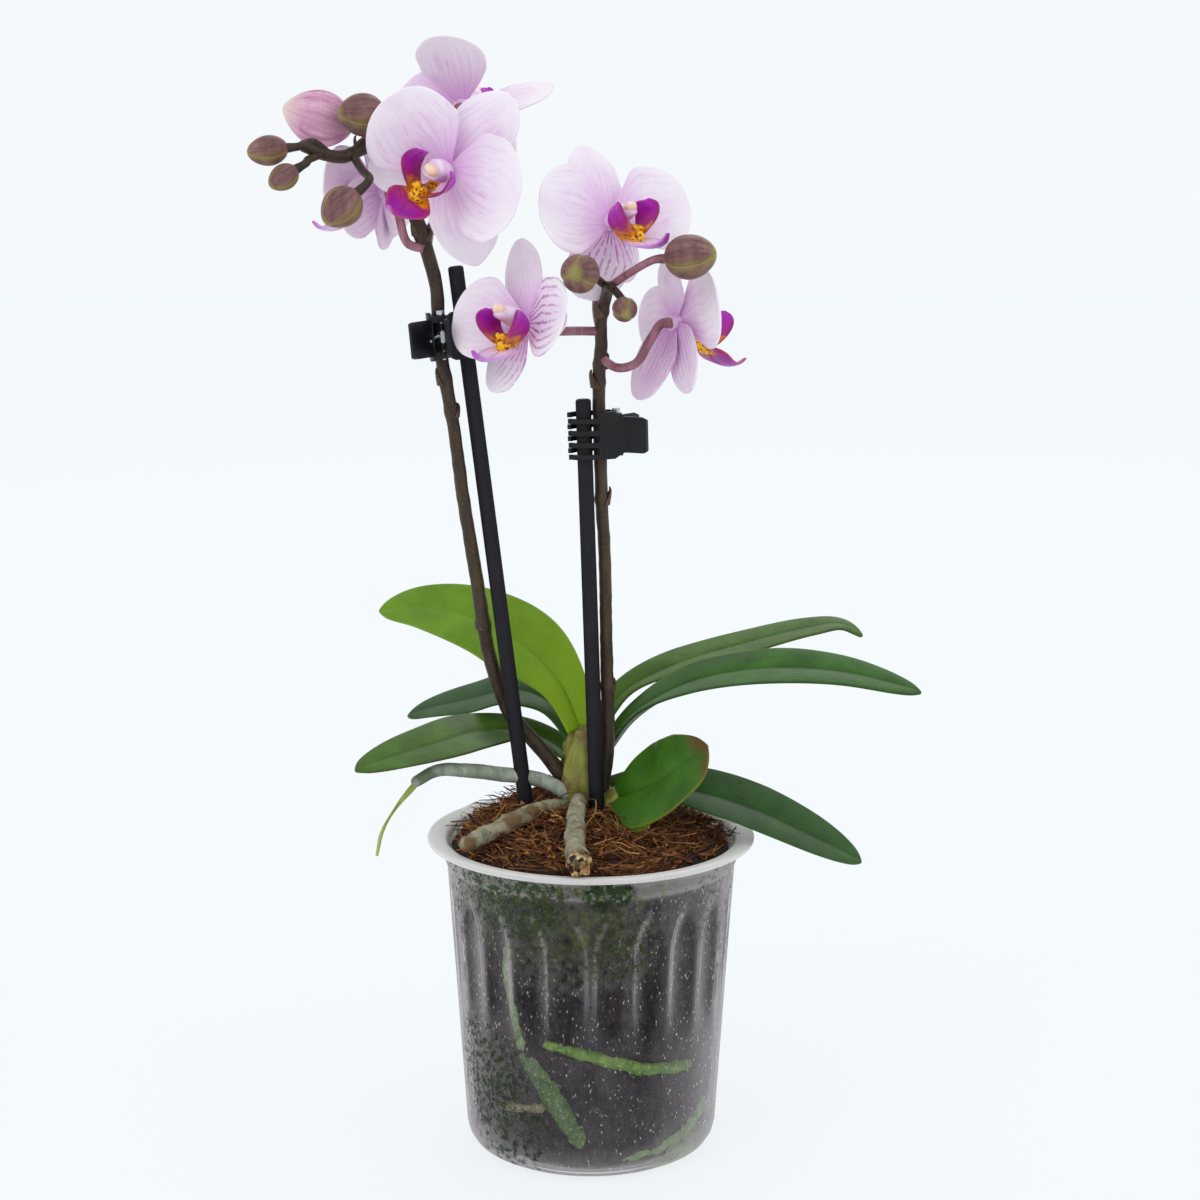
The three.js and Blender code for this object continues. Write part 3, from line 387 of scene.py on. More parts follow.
def wallRadius(z):
    share = (z - pot["cornerRise"]) / (pot["collarBottom"] - pot["cornerRise"])
    return mix(pot["baseRadius"], pot["topRadius"], share)


def fluteTurn(angle):
    # where this angle lies between one ridge, 0, and the next, 1
    return ((angle + math.pi / 2) * pot["flutes"] / (2 * math.pi)) % 1


def channelShare(angle, z):
    # 0 on a ridge and 1 in the middle of a flute, which is arched at its top and runs out slowly below
    away = abs(fluteTurn(angle) - 0.5) * 2
    hollow = max(0, 1 - (away / pot["fluteWidth"]) ** 2) ** 0.8
    top = pot["fluteTop"] - pot["archDrop"] * away**2
    return hollow * (1 - smooth(z, top - 5, top)) * smooth(z, *pot["fluteBottom"])


def ringsFrom(profile, sides):
    # a circle extruded ring by ring along the profile, each ring moved up and resized
    radius, height = profile[0]
    bpy.ops.mesh.primitive_circle_add(vertices=sides, radius=radius * mm, location=(0, 0, height * mm))
    piece = bpy.context.object
    bpy.ops.object.mode_set(mode="EDIT")
    bpy.ops.mesh.select_all(action="SELECT")
    for nextRadius, nextHeight in profile[1:]:
        bpy.ops.mesh.extrude_region_move(TRANSFORM_OT_translate={"value": (0, 0, (nextHeight - height) * mm)})
        share = nextRadius / radius
        bpy.ops.transform.resize(value=(share, share, 1), center_override=(0, 0, nextHeight * mm))
        radius, height = nextRadius, nextHeight
    selectAll()
    mergeDoubles()
    turnOutwards()
    bpy.ops.object.mode_set(mode="OBJECT")
    placeInMesh(piece)
    return piece


def makePotFloor():
    # the floor with its drain holes, a touch wider than the wall's foot so that they join
    thickness, circle = pot["floorThickness"] * mm, pot["drainCircle"] * mm
    bpy.ops.mesh.primitive_cylinder_add(vertices=72, radius=(pot["floorRadius"] + 0.02) * mm, depth=thickness,
                                        location=(0, 0, thickness / 2))
    floor = bpy.context.object
    for k in range(pot["drains"]):
        angle = 2 * math.pi * k / pot["drains"]
        bpy.ops.mesh.primitive_cylinder_add(vertices=32, radius=pot["drainRadius"] * mm, depth=6 * mm,
                                            location=(circle * math.cos(angle), circle * math.sin(angle), 0))
        drain = bpy.context.object
        applyModifier(floor, "BOOLEAN", operation="DIFFERENCE", object=drain)
        bpy.data.objects.remove(drain)
    placeInMesh(floor)
    return floor


def makePot():
    levels = [6, 14, 24, *[32 + 1.6 * k for k in range(28)], 78, 80.4]  # closer where the flutes are
    floorRadius = pot["floorRadius"]
    profile = [*pot["corner"], *[(wallRadius(z), z) for z in levels], *pot["rim"], *pot["innerCollar"],
               *[(wallRadius(z) - pot["wall"], z) for z in levels[::-1]], *pot["innerCorner"],
               (floorRadius, pot["floorThickness"]), (floorRadius, 0)]
    piece = joinPieces([ringsFrom(profile, pot["sides"]), makePotFloor()])
    channel = piece.data.attributes.new("channel", "FLOAT", "POINT")
    # fold carries the painted highlight along one crease of each flute
    fold = piece.data.attributes.new("fold", "FLOAT", "POINT")
    for vertex in piece.data.vertices:
        x, y, z = (v / mm for v in vertex.co)
        angle, radius = math.atan2(y, x), math.hypot(x, y)
        if not (8 < z < 79 and radius > floorRadius):
            continue
        share = channelShare(angle, z)
        vertex.co.x *= 1 - pot["fluteDepth"] * share / radius
        vertex.co.y *= 1 - pot["fluteDepth"] * share / radius
        channel.data[vertex.index].value = share
        # the crease that gets the painted highlight is the one nearer the middle, and the highlight fades downwards
        inner = fluteTurn(angle) < 0.5 if x > 0 else fluteTurn(angle) > 0.5
        if inner and share < 0.35 and z > 42:
            steps = [abs(channelShare(angle + aside, z + up) - share)
                     for aside, up in ((0.012, 0), (-0.012, 0), (0, 0.8))]
            weaker = pot["highlightNearMiddle"] if abs(x) < 8 else 1
            fold.data[vertex.index].value = min(1, max(steps) * 6) * smooth(z, 42, 60) * weaker
    setMaterials(piece, potMaterial())
    return finishPiece(piece, "nursery_pot", ["pot"], angle=60)


deselectAll()
makePot()
print("pot made")

# the coir filling: a mound with loose fibres and chips of husk on it, sizes in mm, shades as dark, light and how
# many pieces are golden; the golden colour is partly the husk's own tone and partly painted highlight
coir = {
    "edge": 85.4, "rise": 8.4, "moundRadius": 38.5, "leanX": -20, "leanY": 12, "leanRise": 3, "leanSpread": 16,
    "fibres": 1900, "fibreKinds": 14, "fibreLength": (9, 26), "fibreRadius": (0.12, 0.34), "fibreReach": 37.4,
    "edgeBand": 29, "insideWall": 39.2, "highest": 6, "fibreSeed": 4, "fibreShades": ("#34180A", "#7E4420", 0.9),
    "chips": 620, "chipKinds": 8, "chipReach": 36, "chipSeed": 9, "chipShades": ("#371A0C", "#80441F", 0.6),
    # the filling's shades are near black: the husk's dark tone with painted shade of the gaps between the fibres
    "fillingShadesWithGapShade": ("#120A06", "#38200F", 0), "golden": "#C08A4A",
    # the damp face behind the wall: the heights between which it dries, and where it turns mossy
    "dryFrom": 82, "dryTo": 85, "damp": "#1B171D", "dampHairs": "#3C3136", "moss": "#454E22", "mossFrom": 52,
    "mossTo": 78,
}


def coirMaterial(name, dark, light, shine, drying=None):
    # Shredded coconut husk: dull woody fibre; where it lies damp behind the pot's wall, below the heights of
    # drying in mm, it is darker, shows fine pale hairs and is mossy towards its top
    material, add, place = newMaterial(name)
    stretched = add("Mapping", place["Object"], Scale=(1, 1, 0.5))
    hairs = add("TexNoise", stretched, metre / 1.6, 5, 0.7)
    clumps = add("TexNoise", place["Object"], metre / 8, 3, 0.55)
    each = add("NewGeometry").node.outputs["Random Per Island"]
    colour = layColours(
        add, dark, (light, (hairs, ((0.38, 0), (0.66, 1)))), (dark, (clumps, ((0.4, 0), (0.7, 0.4)))),
        # golden pieces at random, shine being their share: partly the husk's own tone, partly painted highlight
        (coir["golden"], (each, ((0.62, 0), (0.95, shine)))))
    if drying:
        height = add("SeparateXYZ", place["Object"]).node.outputs["Z"]
        below = add("MapRange", height, drying[0] * mm, drying[1] * mm, 1, 0)
        mossy = add("MapRange", height, coir["mossFrom"] * mm, coir["mossTo"] * mm, 0, 0.9)
        tufts = add("TexNoise", place["Object"], metre / 7, 5, 0.7)
        damp = layColours(
            add, coir["damp"], (coir["dampHairs"], (hairs, ((0.4, 0), (0.72, 1)))),
            (coir["moss"], (tufts, ((0.5, 0), (0.58, 1))), (mossy, ((0, 0), (1, 1)))))
        colour = add("Mix", below, colour, damp, data_type="RGBA")
    finishMaterial(add, {"Base Color": colour, "Roughness": 0.82, "IOR": 1.4}, hairs, 0.7, 0.8)
    return material


def moundHeight(x, y):
    inside = 1 - min(1, math.hypot(x, y) / coir["moundRadius"]) ** 2.4
    lean = math.exp(-((x - coir["leanX"]) ** 2 + (y - coir["leanY"]) ** 2) / (2 * coir["leanSpread"] ** 2))
    return coir["edge"] + (coir["rise"] + coir["leanRise"] * lean) * inside


def scatter(kinds, placings):
    # one mesh from many turned and moved copies of a few kinds of mesh
    points, faces, count = [], [], 0
    for kind, matrix in placings:
        mesh = kinds[kind].data
        flat = np.empty(len(mesh.vertices) * 3)
        mesh.vertices.foreach_get("co", flat)
        turned = flat.reshape(-1, 3) @ np.array(matrix.to_3x3()).T + np.array(matrix.translation)
        points.append(turned)
        faces += [[i + count for i in face.vertices] for face in mesh.polygons]
        count += len(turned)
    mesh = bpy.data.meshes.new("scattered")
    mesh.from_pydata(np.concatenate(points).tolist(), [], faces)
    mesh.update()
    piece = bpy.data.objects.new("scattered", mesh)
    bpy.context.collection.objects.link(piece)
    for kind in kinds:
        bpy.data.objects.remove(kind)
    return piece


def spotOnMound(randomly, reach):
    angle, distance = randomly.uniform(0, 2 * math.pi), reach * math.sqrt(randomly.uniform(0, 1))
    return angle, distance, distance * math.cos(angle), distance * math.sin(angle)


def coirFibre(randomly):
    # a limp curled fibre that lies along x, about as long as those in the photo
    reach = randomly.uniform(*coir["fibreLength"])
    wander = [randomly.uniform(-1, 1) for _ in range(6)]
    points = [(reach * (k / 5 - 0.5), 2.6 * wander[k] * (k / 5 + 0.3), 0.9 * abs(wander[5 - k])) for k in range(6)]
    size = randomly.uniform(*coir["fibreRadius"])
    return tube(points, lambda t: size * (1 - 0.5 * t), 9, 4)


def makeCoirFibres():
    randomly = random.Random(coir["fibreSeed"])
    kinds = [coirFibre(randomly) for _ in range(coir["fibreKinds"])]
    placings = []
    for _ in range(coir["fibres"]):
        angle, distance, x, y = spotOnMound(randomly, coir["fibreReach"])
        nearEdge = distance > coir["edgeBand"]
        heading = randomly.uniform(0, 2 * math.pi)
        if nearEdge:  # there they lie along the wall
            heading = angle + math.pi / 2 + randomly.uniform(-0.6, 0.6)
        tilt = randomly.uniform(-0.2, 0.24) if randomly.random() < 0.7 else randomly.uniform(-0.8, 0.8)
        turn = (Matrix.Rotation(heading, 4, "Z") @ Matrix.Rotation(-tilt, 4, "Y")
                @ Matrix.Rotation(randomly.uniform(-1.4, 1.4), 4, "X"))
        size = randomly.uniform(0.35, 0.7) if nearEdge else randomly.uniform(0.5, 1)
        spot = Vector((x, y, moundHeight(x, y) + randomly.uniform(-0.7, 1.3))) * mm
        placings.append((randomly.randrange(coir["fibreKinds"]),
                         Matrix.Translation(spot) @ turn @ Matrix.Scale(size, 4)))
    piece = scatter(kinds, placings)
    insideWall, rimTop = coir["insideWall"], 88.2
    for vertex in piece.data.vertices:  # no fibre goes into the pot's wall or stands high above the mound
        x, y = vertex.co.x / mm, vertex.co.y / mm
        out = math.hypot(x, y)
        if out > insideWall and vertex.co.z < rimTop * mm:
            vertex.co.x *= insideWall / out
            vertex.co.y *= insideWall / out
        vertex.co.z = min(vertex.co.z, (moundHeight(x, y) + coir["highest"]) * mm)
    setMaterials(piece, coirMaterial("Dry coir fibre", *coir["fibreShades"]))
    return finishPiece(piece, "coir_fibres", [], angle=80)


def makeCoirChips():
    # crumbs and short splinters of husk between the fibres
    randomly = random.Random(coir["chipSeed"])
    kinds = []
    for _ in range(coir["chipKinds"]):
        bpy.ops.mesh.primitive_cube_add(size=1, location=(0, 0, 0))
        chip = bpy.context.object
        chip.scale = [randomly.uniform(*sizes) * mm for sizes in ((3, 8), (0.5, 1.5), (0.3, 0.8))]
        placeInMesh(chip)
        applyModifier(chip, "SUBSURF", levels=1, render_levels=1, subdivision_type="SIMPLE")
        roughen(chip, 1.4, 0.7, randomly.uniform(0, 50))
        kinds.append(chip)
    placings = []
    for _ in range(coir["chips"]):
        _, _, x, y = spotOnMound(randomly, coir["chipReach"])
        turn = (Matrix.Rotation(randomly.uniform(0, 6.3), 4, "Z")
                @ Matrix.Rotation(randomly.gauss(0, 0.45), 4, "Y"))
        kind = randomly.randrange(coir["chipKinds"])
        spot = Vector((x, y, moundHeight(x, y) + randomly.uniform(-0.3, 1))) * mm
        placings.append((kind, Matrix.Translation(spot) @ turn))
    piece = scatter(kinds, placings)
    setMaterials(piece, coirMaterial("Husk crumbs", *coir["chipShades"]))
    return finishPiece(piece, "coir_crumbs", [], angle=30)


def makeCoir():
    filling = copyOfNode("coir", 0.9, 2)
    roughen(filling, 5, 0.9)
    roughen(filling, 1.8, 0.8)
    drying = (coir["dryFrom"], coir["dryTo"])
    # the filling's top is drawn near black, the husk's dark tone plus painted shade between the fibres; behind the
    # wall it is damp
    setMaterials(filling, coirMaterial("Damp coir with painted gap shade", *coir["fillingShadesWithGapShade"], drying))
    finishPiece(filling, "coir_filling", ["coir"], angle=80)
    makeCoirFibres()
    makeCoirChips()


makeCoir()
print("coir made")

# leaves: a midrib from stem to tip, half the width in mm, how far the blade is turned to the viewer and folded in
# degrees, the share of its length by which it is full wide, and how blunt its tip is
leaves = {
    "leaf_left_top": {
        "rib": [(-3, 8, 115), (-9, 12, 127.5), (-21, 18, 138), (-35, 22, 144), (-48, 25, 146), (-60, 26, 145)],
        "halfWidth": 13.6, "turned": 34, "fold": 10, "look": "young"},
    "leaf_left_middle": {
        "rib": [(-4, 9, 112), (-10, 16, 119.5), (-21, 25, 122), (-35, 30, 118), (-46, 33, 115), (-53, 34, 112.5)],
        "halfWidth": 11, "turned": 18, "fold": 12, "look": "bluish"},
    "leaf_left_low": {
        "rib": [(-5.3, 8.7, 106.5), (-12, 16, 109.5), (-21, 17.5, 112), (-31, 11, 113.5), (-42, -1, 113),
                (-52, -10, 112), (-63, -18, 110)],
        "halfWidth": 9.4, "turned": 18, "fold": 10, "blunt": 4.6, "look": "olive"},
    "leaf_right_top": {
        "rib": [(2, 9, 115), (9, 15, 123.5), (24, 20, 130.5), (44, 24, 135.8), (62, 27, 139.7), (71, 28, 140.5),
                (77, 27, 137.5)],
        "halfWidth": 8.5, "turned": 10, "fold": 12, "full": 0.42, "blunt": 4.6, "look": "olive"},
    "leaf_right_middle": {
        "rib": [(4, 7, 108), (12, 6, 119), (27, 1, 129.5), (46, -4, 134.5), (67, -7, 134.3), (89, -10, 129.5)],
        "halfWidth": 9.5, "turned": 18, "fold": 12, "full": 0.36, "blunt": 5.5, "look": "deep"},
    "leaf_right_front": {
        "rib": [(7.5, -1.5, 97.6), (12, -7, 101), (18, -14, 105.5), (25, -19, 112), (31, -21, 118)],
        "halfWidth": 14, "turned": 54, "fold": 8, "full": 0.4, "look": "reddened"},
    "leaf_right_low": {
        "rib": [(5, 7, 98), (13, 5, 100.3), (28, -2, 99.8), (45, -4, 94.8), (60, -6, 88.2), (74, -8, 81.5)],
        "halfWidth": 11.5, "turned": 20, "fold": 16, "blunt": 4.6, "look": "bluish"},
}
leafShape = {"thickness": 1.5, "rows": 44, "columns": 22, "baseFold": 38, "neck": 0.42, "wave": 0.35}
leafLooks = {
    "young": {"dark": "#4C7410", "light": "#6E9420", "vein": "#8FB63A", "rib": "#5E8A16", "base": "#7EA214",
              "rim": "#7A9A3C", "basePlace": ((0, 1), (0.5, 0.25), (0.8, 0)), "roughness": 0.5},
    "olive": {"dark": "#2C4610", "light": "#4A6E20", "vein": "#6E9348", "rib": "#284812", "base": "#3F5F14",
              "rim": "#4A3B26", "basePlace": ((0, 1), (0.2, 0.4), (0.4, 0)), "roughness": 0.46},
    "bluish": {"dark": "#1D3A14", "light": "#355A26", "vein": "#6A9068", "rib": "#1E3A1A", "base": "#355A1E",
               "rim": "#3E5A36", "basePlace": ((0, 1), (0.2, 0.4), (0.4, 0)), "roughness": 0.46},
    "deep": {"dark": "#1D3E0A", "light": "#366614", "vein": "#5C8848", "rib": "#16300C", "base": "#2F5210",
             "rim": "#33401F", "basePlace": ((0, 1), (0.2, 0.5), (0.4, 0)), "roughness": 0.44},
    "reddened": {"dark": "#24480A", "light": "#3C6A12", "vein": "#6C943A", "rib": "#2A4E10", "base": "#3A6A12",
                 "rim": "#8A7A22", "basePlace": ((0, 0.6), (0.3, 0)), "roughness": 0.46, "tip": "#553C18",
                 "tipPlace": ((0.74, 0), (0.82, 0.92))},
}


def leafMaterial(name, look):
    # Orchid leaf: thick and waxy with a cuticle that gives broad soft highlights, faint lengthwise veins and a
    # sunken midrib; the colour runs in blotches of a few millimetres, and its cells are drawn coarser than real
    material, add, place = newMaterial(name)
    where = add("SeparateXYZ", place["UV"]).node.outputs  # X runs from stem to tip, Y across
    blotch = add("TexNoise", place["Object"], metre / 9, 4, 0.55)
    cells = add("TexNoise", place["Object"], metre / 0.7, 3, 0.55)
    lines = add("CombineXYZ", where["Y"], add("Math", where["X"], 0.15, operation="MULTIPLY"))
    veins = add("TexWave", lines, 6.3, 0.6, 2).node.outputs["Fac"]
    colour = layColours(
        add, look["dark"],
        (look["light"], (blotch, ((0.3, 0), (0.7, 1)))),
        (look["light"], (cells, ((0.35, 0), (0.75, 0.5)))),
        (look["vein"], (veins, ((0.6, 0), (1, 0.1)))),
        (look["base"], (where["X"], look["basePlace"])),
        (look["rib"], (where["Y"], ((0.465, 0), (0.495, 0.45), (0.505, 0.45), (0.535, 0)))))
    if "tip" in look:
        reach = add("Math", where["X"], 0.7, operation="MULTIPLY")
        ragged = add("Math", blotch, 0.3, reach, operation="MULTIPLY_ADD")
        colour = layColours(add, colour, (look["tip"], (ragged, look["tipPlace"])))
    colour = layColours(add, colour, (look["rim"], (where["Y"], ((0, 0.5), (0.035, 0), (0.965, 0), (1, 0.5)))))
    height = add("Math", veins, 0.6, cells, operation="MULTIPLY_ADD")
    finishMaterial(add, {"Base Color": colour, "Roughness": look["roughness"], "IOR": 1.45,
                         "Specular IOR Level": 0.24}, height, 0.14, 0.2)
    return material


def leafFrames(leaf, steps):
    # at each step: the midrib's place, its heading, the way the upper face looks, and the way across
    centres = smoothPath(leaf["rib"], steps)
    frames = []
    for k, centre in enumerate(centres):
        heading = (centres[min(k + 1, steps)] - centres[max(k - 1, 0)]).normalized()
        level = heading.cross(Vector((0, 0, 1))).normalized()
        if level.y > 0:
            level.negate()
        raised = level.cross(heading)
        if raised.z < 0:
            raised.negate()
        turned = math.radians(leaf["turned"])
        normal = raised * math.cos(turned) + level * math.sin(turned)
        frames.append((centre, heading, normal, normal.cross(heading)))
    return frames


def makeLeaf(name, leaf):
    rows, columns = leafShape["rows"], leafShape["columns"]
    frames = leafFrames(leaf, rows)
    seed = len(name) * 3.7

    def place(u, v):
        centre, heading, normal, side = frames[round(u * rows)]
        neck = mix(leafShape["neck"], 1, smooth(u, 0, leaf.get("full", 0.5)))
        reach = leaf["halfWidth"] * neck * (1 - u ** leaf.get("blunt", 3.4)) ** 0.62 + 0.12
        fold = math.radians(mix(leafShape["baseFold"], leaf["fold"], smooth(u, 0, 0.45)))
        rise = abs(v) - 0.35 * v * v
        groove = -0.3 * math.exp(-((v / 0.07) ** 2)) * (1 - u**3)
        wave = leafShape["wave"] * noise.noise(Vector((u * 4, v, seed))) * (0.4 + abs(v)) * math.sin(math.pi * u)
        return (centre + side * v * reach * math.cos(fold)
                + normal * (rise * reach * math.sin(fold) + groove + wave)) * mm

    piece = sheet(rows, columns, place)
    group = piece.vertex_groups.new(name="thick")
    for vertex in piece.data.vertices:
        v = 2 * (vertex.index // (rows + 1)) / columns - 1
        group.add([vertex.index], 1 - 0.55 * v * v, "REPLACE")
    applyModifier(piece, "SOLIDIFY", thickness=leafShape["thickness"] * mm, offset=0, vertex_group="thick",
                  use_even_offset=False)
    applyModifier(piece, "SUBSURF", levels=1, render_levels=1)
    setMaterials(piece, leafMaterials[leaf["look"]])
    return finishPiece(piece, name + "_blade", [name], angle=70)


leafMaterials = {look: leafMaterial(f"Waxy leaf {look}", values) for look, values in leafLooks.items()}
for leafName, leaf in leaves.items():
    makeLeaf(leafName, leaf)

crownLook = {"dark": "#66682A", "light": "#95983E", "streak": 3, "pore": 0.6, "poreShare": 0.3,
             "poreColour": "#A9A068", "patch": "#74593A", "patchSize": 9, "roughness": 0.5, "bump": 0.3}


def makeCrown():
    crown = copyOfNode("crown", 0.55, 6)
    roughen(crown, 4, 0.6)
    setMaterials(crown, skinMaterial("Leaf sheaths", crownLook))
    finishPiece(crown, "crown_sheaths", ["crown"], angle=80)


makeCrown()
print("leaves made")

# aerial roots: a path, radii along it in mm, and how lumpy they are
roots = {
    "root_hanging": {
        "path": [(-6, 2, 98), (-13, 2, 102), (-25, 0, 104.5), (-34, -2, 106), (-42, -4, 106.5), (-47.5, -6, 104)],
        "radii": [2, 2.1, 2.0, 1.5], "look": "velamen", "lumps": 0.1,
        "thread": [(-46, -5.6, 105.2), (-53, -7, 97), (-57, -7, 90), (-58.5, -7, 83.5)]},
    "root_left": {
        "path": [(-7.5, -1.5, 95.5), (-13.5, -6, 96.2), (-22, -14, 94.5), (-30, -21, 92.2), (-33, -24, 91.4)],
        "radii": [2, 2.4, 2], "look": "peeling", "lumps": 0.6},
    "root_front": {
        "path": [(-3, -3, 98), (-3.5, -9, 98.6), (-4, -17, 96.5), (-4, -30, 93), (-3, -41, 91.6)],
        "radii": [2, 2.6, 3.1], "look": "peeling", "lumps": 0.45},
    "root_right": {
        "path": [(0, -4, 94), (6, -12, 93.4), (10, -17, 93), (15, -18, 94.5)],
        "radii": [1.4, 1.3, 0.9], "look": "olive", "lumps": 0.3},
}
rootLooks = {
    "velamen": {"dark": "#77826F", "light": "#A3AA9C", "streak": 3, "pore": 0.7, "poreShare": 0.5,
                "poreColour": "#C4C8BC", "patch": "#6C775C", "patchSize": 12, "roughness": 0.8, "bump": 0.3},
    "peeling": {"dark": "#737057", "light": "#9C9880", "streak": 3, "pore": 0.8, "poreShare": 0.6,
                "poreColour": "#BDB8A2", "patch": "#6B5436", "patchSize": 7, "roughness": 0.85, "bump": 0.9},
    "olive": {"dark": "#4E5A1E", "light": "#8B9A3A", "streak": 2, "pore": 0.6, "poreShare": 0.3,
              "poreColour": "#A9A862", "roughness": 0.55, "bump": 0.4},
    "thread": {"dark": "#7C8A24", "light": "#A9B062", "streak": 4, "pore": 0.5, "poreShare": 0.2,
               "poreColour": "#C8CBA0", "roughness": 0.6, "bump": 0.3},
}


tornEnd = {"radius": 2.9, "skin": 0.8, "hollow": 2.2, "turn": 94, "dark": "#8A5A2A", "light": "#D9BE8C",
           "streak": 1.6, "pore": 0.6, "poreShare": 0.8, "poreColour": "#3A2413", "patch": "#2A1A10",
           "patchSize": 2.6, "roughness": 0.8, "bump": 0.8}


def makeRoot(name, root):
    torn = name == "root_front"
    piece = tube(root["path"], lambda t: through(root["radii"], t), 60, 16, roundStart=True, roundEnd=not torn)
    roughen(piece, 4, root["lumps"], 3)
    roughen(piece, 1.3, root["lumps"] * 0.7, 8)
    setMaterials(piece, rootMaterials[root["look"]])
    if torn:
        piece = joinPieces([piece, brokenEnd(Vector(root["path"][-1]))])
    if "thread" in root:
        thread = tube(root["thread"], lambda t: mix(0.75, 0.35, t) * (1 + 0.3 * math.sin(9 * t)), 40, 8,
                      roundEnd=True)
        setMaterials(thread, rootMaterials["thread"])
        piece = joinPieces([piece, thread])
    return finishPiece(piece, name + "_skin", [name], angle=75)


def brokenEnd(end):
    # the torn end of the front root: a ragged pale ring round a dark hollow
    bpy.ops.mesh.primitive_cylinder_add(vertices=28, radius=tornEnd["radius"] * mm, depth=3.4 * mm,
                                        location=(0, 0, 0))
    ring = bpy.context.object
    selectFaces(ring, lambda normal: normal.z > 0.9)
    hollow = {"value": (0, 0, -tornEnd["hollow"] * mm)}
    inEditMode(lambda: bpy.ops.mesh.inset(thickness=tornEnd["skin"] * mm),
               lambda: bpy.ops.mesh.extrude_region_move(TRANSFORM_OT_translate=hollow),
               lambda: bpy.ops.mesh.inset(thickness=0.5 * mm),
               selectAll, bpy.ops.mesh.quads_convert_to_tris,
               lambda: bpy.ops.mesh.subdivide(number_cuts=1))
    roughen(ring, 1.6, 1.3, 5)
    turn = Matrix.Rotation(math.radians(tornEnd["turn"]), 4, "X")
    ring.matrix_world = Matrix.Translation((end + Vector((0.05, -0.4, -0.1))) * mm) @ turn
    placeInMesh(ring)
    setMaterials(ring, skinMaterial("Torn root core", tornEnd))
    return ring


rootMaterials = {look: skinMaterial(f"Root skin {look}", values) for look, values in rootLooks.items()}
for rootName, root in roots.items():
    makeRoot(rootName, root)

# roots pressed to the inside of the wall: a path as degrees round from the front and height in mm, and a radius
wallRoots = {
    "wall_root_1": {"path": [(-39, 66), (-39.5, 56), (-38, 46), (-33, 37)], "radius": 2.1,
                    "dark": "#4E663A", "light": "#869C6E"},
    "wall_root_2": {"path": [(-20, 38.5), (-4, 36.5), (10, 34), (24, 31.3), (38, 29.6), (52, 28.6)], "radius": 1.8,
                    "dark": "#446A1A", "light": "#76943E"},
    "wall_root_3": {"path": [(-31, 33), (-20, 25), (-10, 16), (-5, 11)], "radius": 3.8,
                    "dark": "#38542A", "light": "#587642"},
    "wall_root_4": {"path": [(4, 5), (20, 5.4), (40, 6.6), (58, 9.5), (72, 13.5)], "radius": 2.2,
                    "dark": "#568630", "light": "#92B46C"},
    "wall_root_5": {"path": [(-47, 17.5), (-36, 18.5), (-24, 19.5)], "radius": 1.5,
                    "dark": "#7A6E50", "light": "#A0956F"},
}
wetSkin = {"streak": 2.4, "pore": 0.6, "poreShare": 0.35, "poreColour": "#C9D6B4", "roughness": 0.5, "bump": 0.4,
           "stretch": (1, 1, 1)}


def makeWallRoot(name, root):
    onWall = []
    for degrees, z in root["path"]:
        turn = math.radians(degrees)
        pressed = min(smooth(z, 35, 46), 1 - smooth(z, 66, 74.5)) * pot["fluteDepth"]  # clear of the flutes
        corner = max(0, 11 - z) ** 2 * 0.075
        out = wallRadius(z) - (pot["wall"] + 0.3 + root["radius"] + 0.25) - corner - pressed
        onWall.append((out * math.sin(turn), -out * math.cos(turn), z))
    piece = tube(onWall, lambda t: root["radius"] * (0.78 + 0.22 * math.sin(math.pi * t)), 50, 12, True, True)
    roughen(piece, 5, 0.8, 2)
    roughen(piece, 1.6, 0.5, 6)
    look = {**wetSkin, "dark": root["dark"], "light": root["light"]}
    setMaterials(piece, skinMaterial(f"Wet velamen {name[-1]}", look))
    return finishPiece(piece, name + "_skin", [name], angle=75)


for rootName, root in wallRoots.items():
    makeWallRoot(rootName, root)
print("roots made")

# buds: the end of the stalk, the way it points, length and width in mm, how blunt it is and how its seams turn
buds = {
    "bud_pink": {"base": (-61.5, -1.2, 278.4), "points": (-0.93, -0.1, 0.28),
                 "length": 19.5, "width": 14.5, "blunt": 0.4, "turn": 0.9},
    "bud_upper": {"base": (-52.2, -10.2, 281.9), "points": (-0.95, -0.28, 0.02),
                  "length": 13, "width": 11, "blunt": 0.6, "turn": 2.6},
    "bud_lower": {"base": (-57.8, -29.7, 263), "points": (-0.72, -0.2, -0.66),
                  "length": 12, "width": 10, "blunt": 0.6, "turn": 2.5},
    "bud_outer": {"base": (-75.4, -27.1, 273.6), "points": (-0.96, -0.22, -0.12),
                  "length": 10.6, "width": 7.6, "blunt": 0.75, "turn": 2.6},
    "bud_tip": {"base": (-73, -29.2, 268.6), "points": (-0.78, -0.3, -0.5),
                "length": 8.6, "width": 6.4, "blunt": 0.7, "turn": 2.4},
    "bud_round": {"base": (-1, -23.3, 242), "points": (-0.28, -0.93, 0.06),
                  "length": 11, "width": 9.8, "blunt": 0.8, "turn": 0.4},
    "bud_big": {"base": (18.6, -23.7, 245.8), "points": (0.94, -0.24, 0.1),
                "length": 13.8, "width": 11.4, "blunt": 0.8, "turn": 0.5},
    "bud_small": {"base": (8.4, -21.8, 234.4), "points": (0.1, -0.9, -0.35),
                  "length": 7, "width": 6.4, "blunt": 0.75, "turn": 0.2},
}
budLayers = ("around", "along", "crease")  # what a bud's mesh tells its material of each point, from 0 to 1
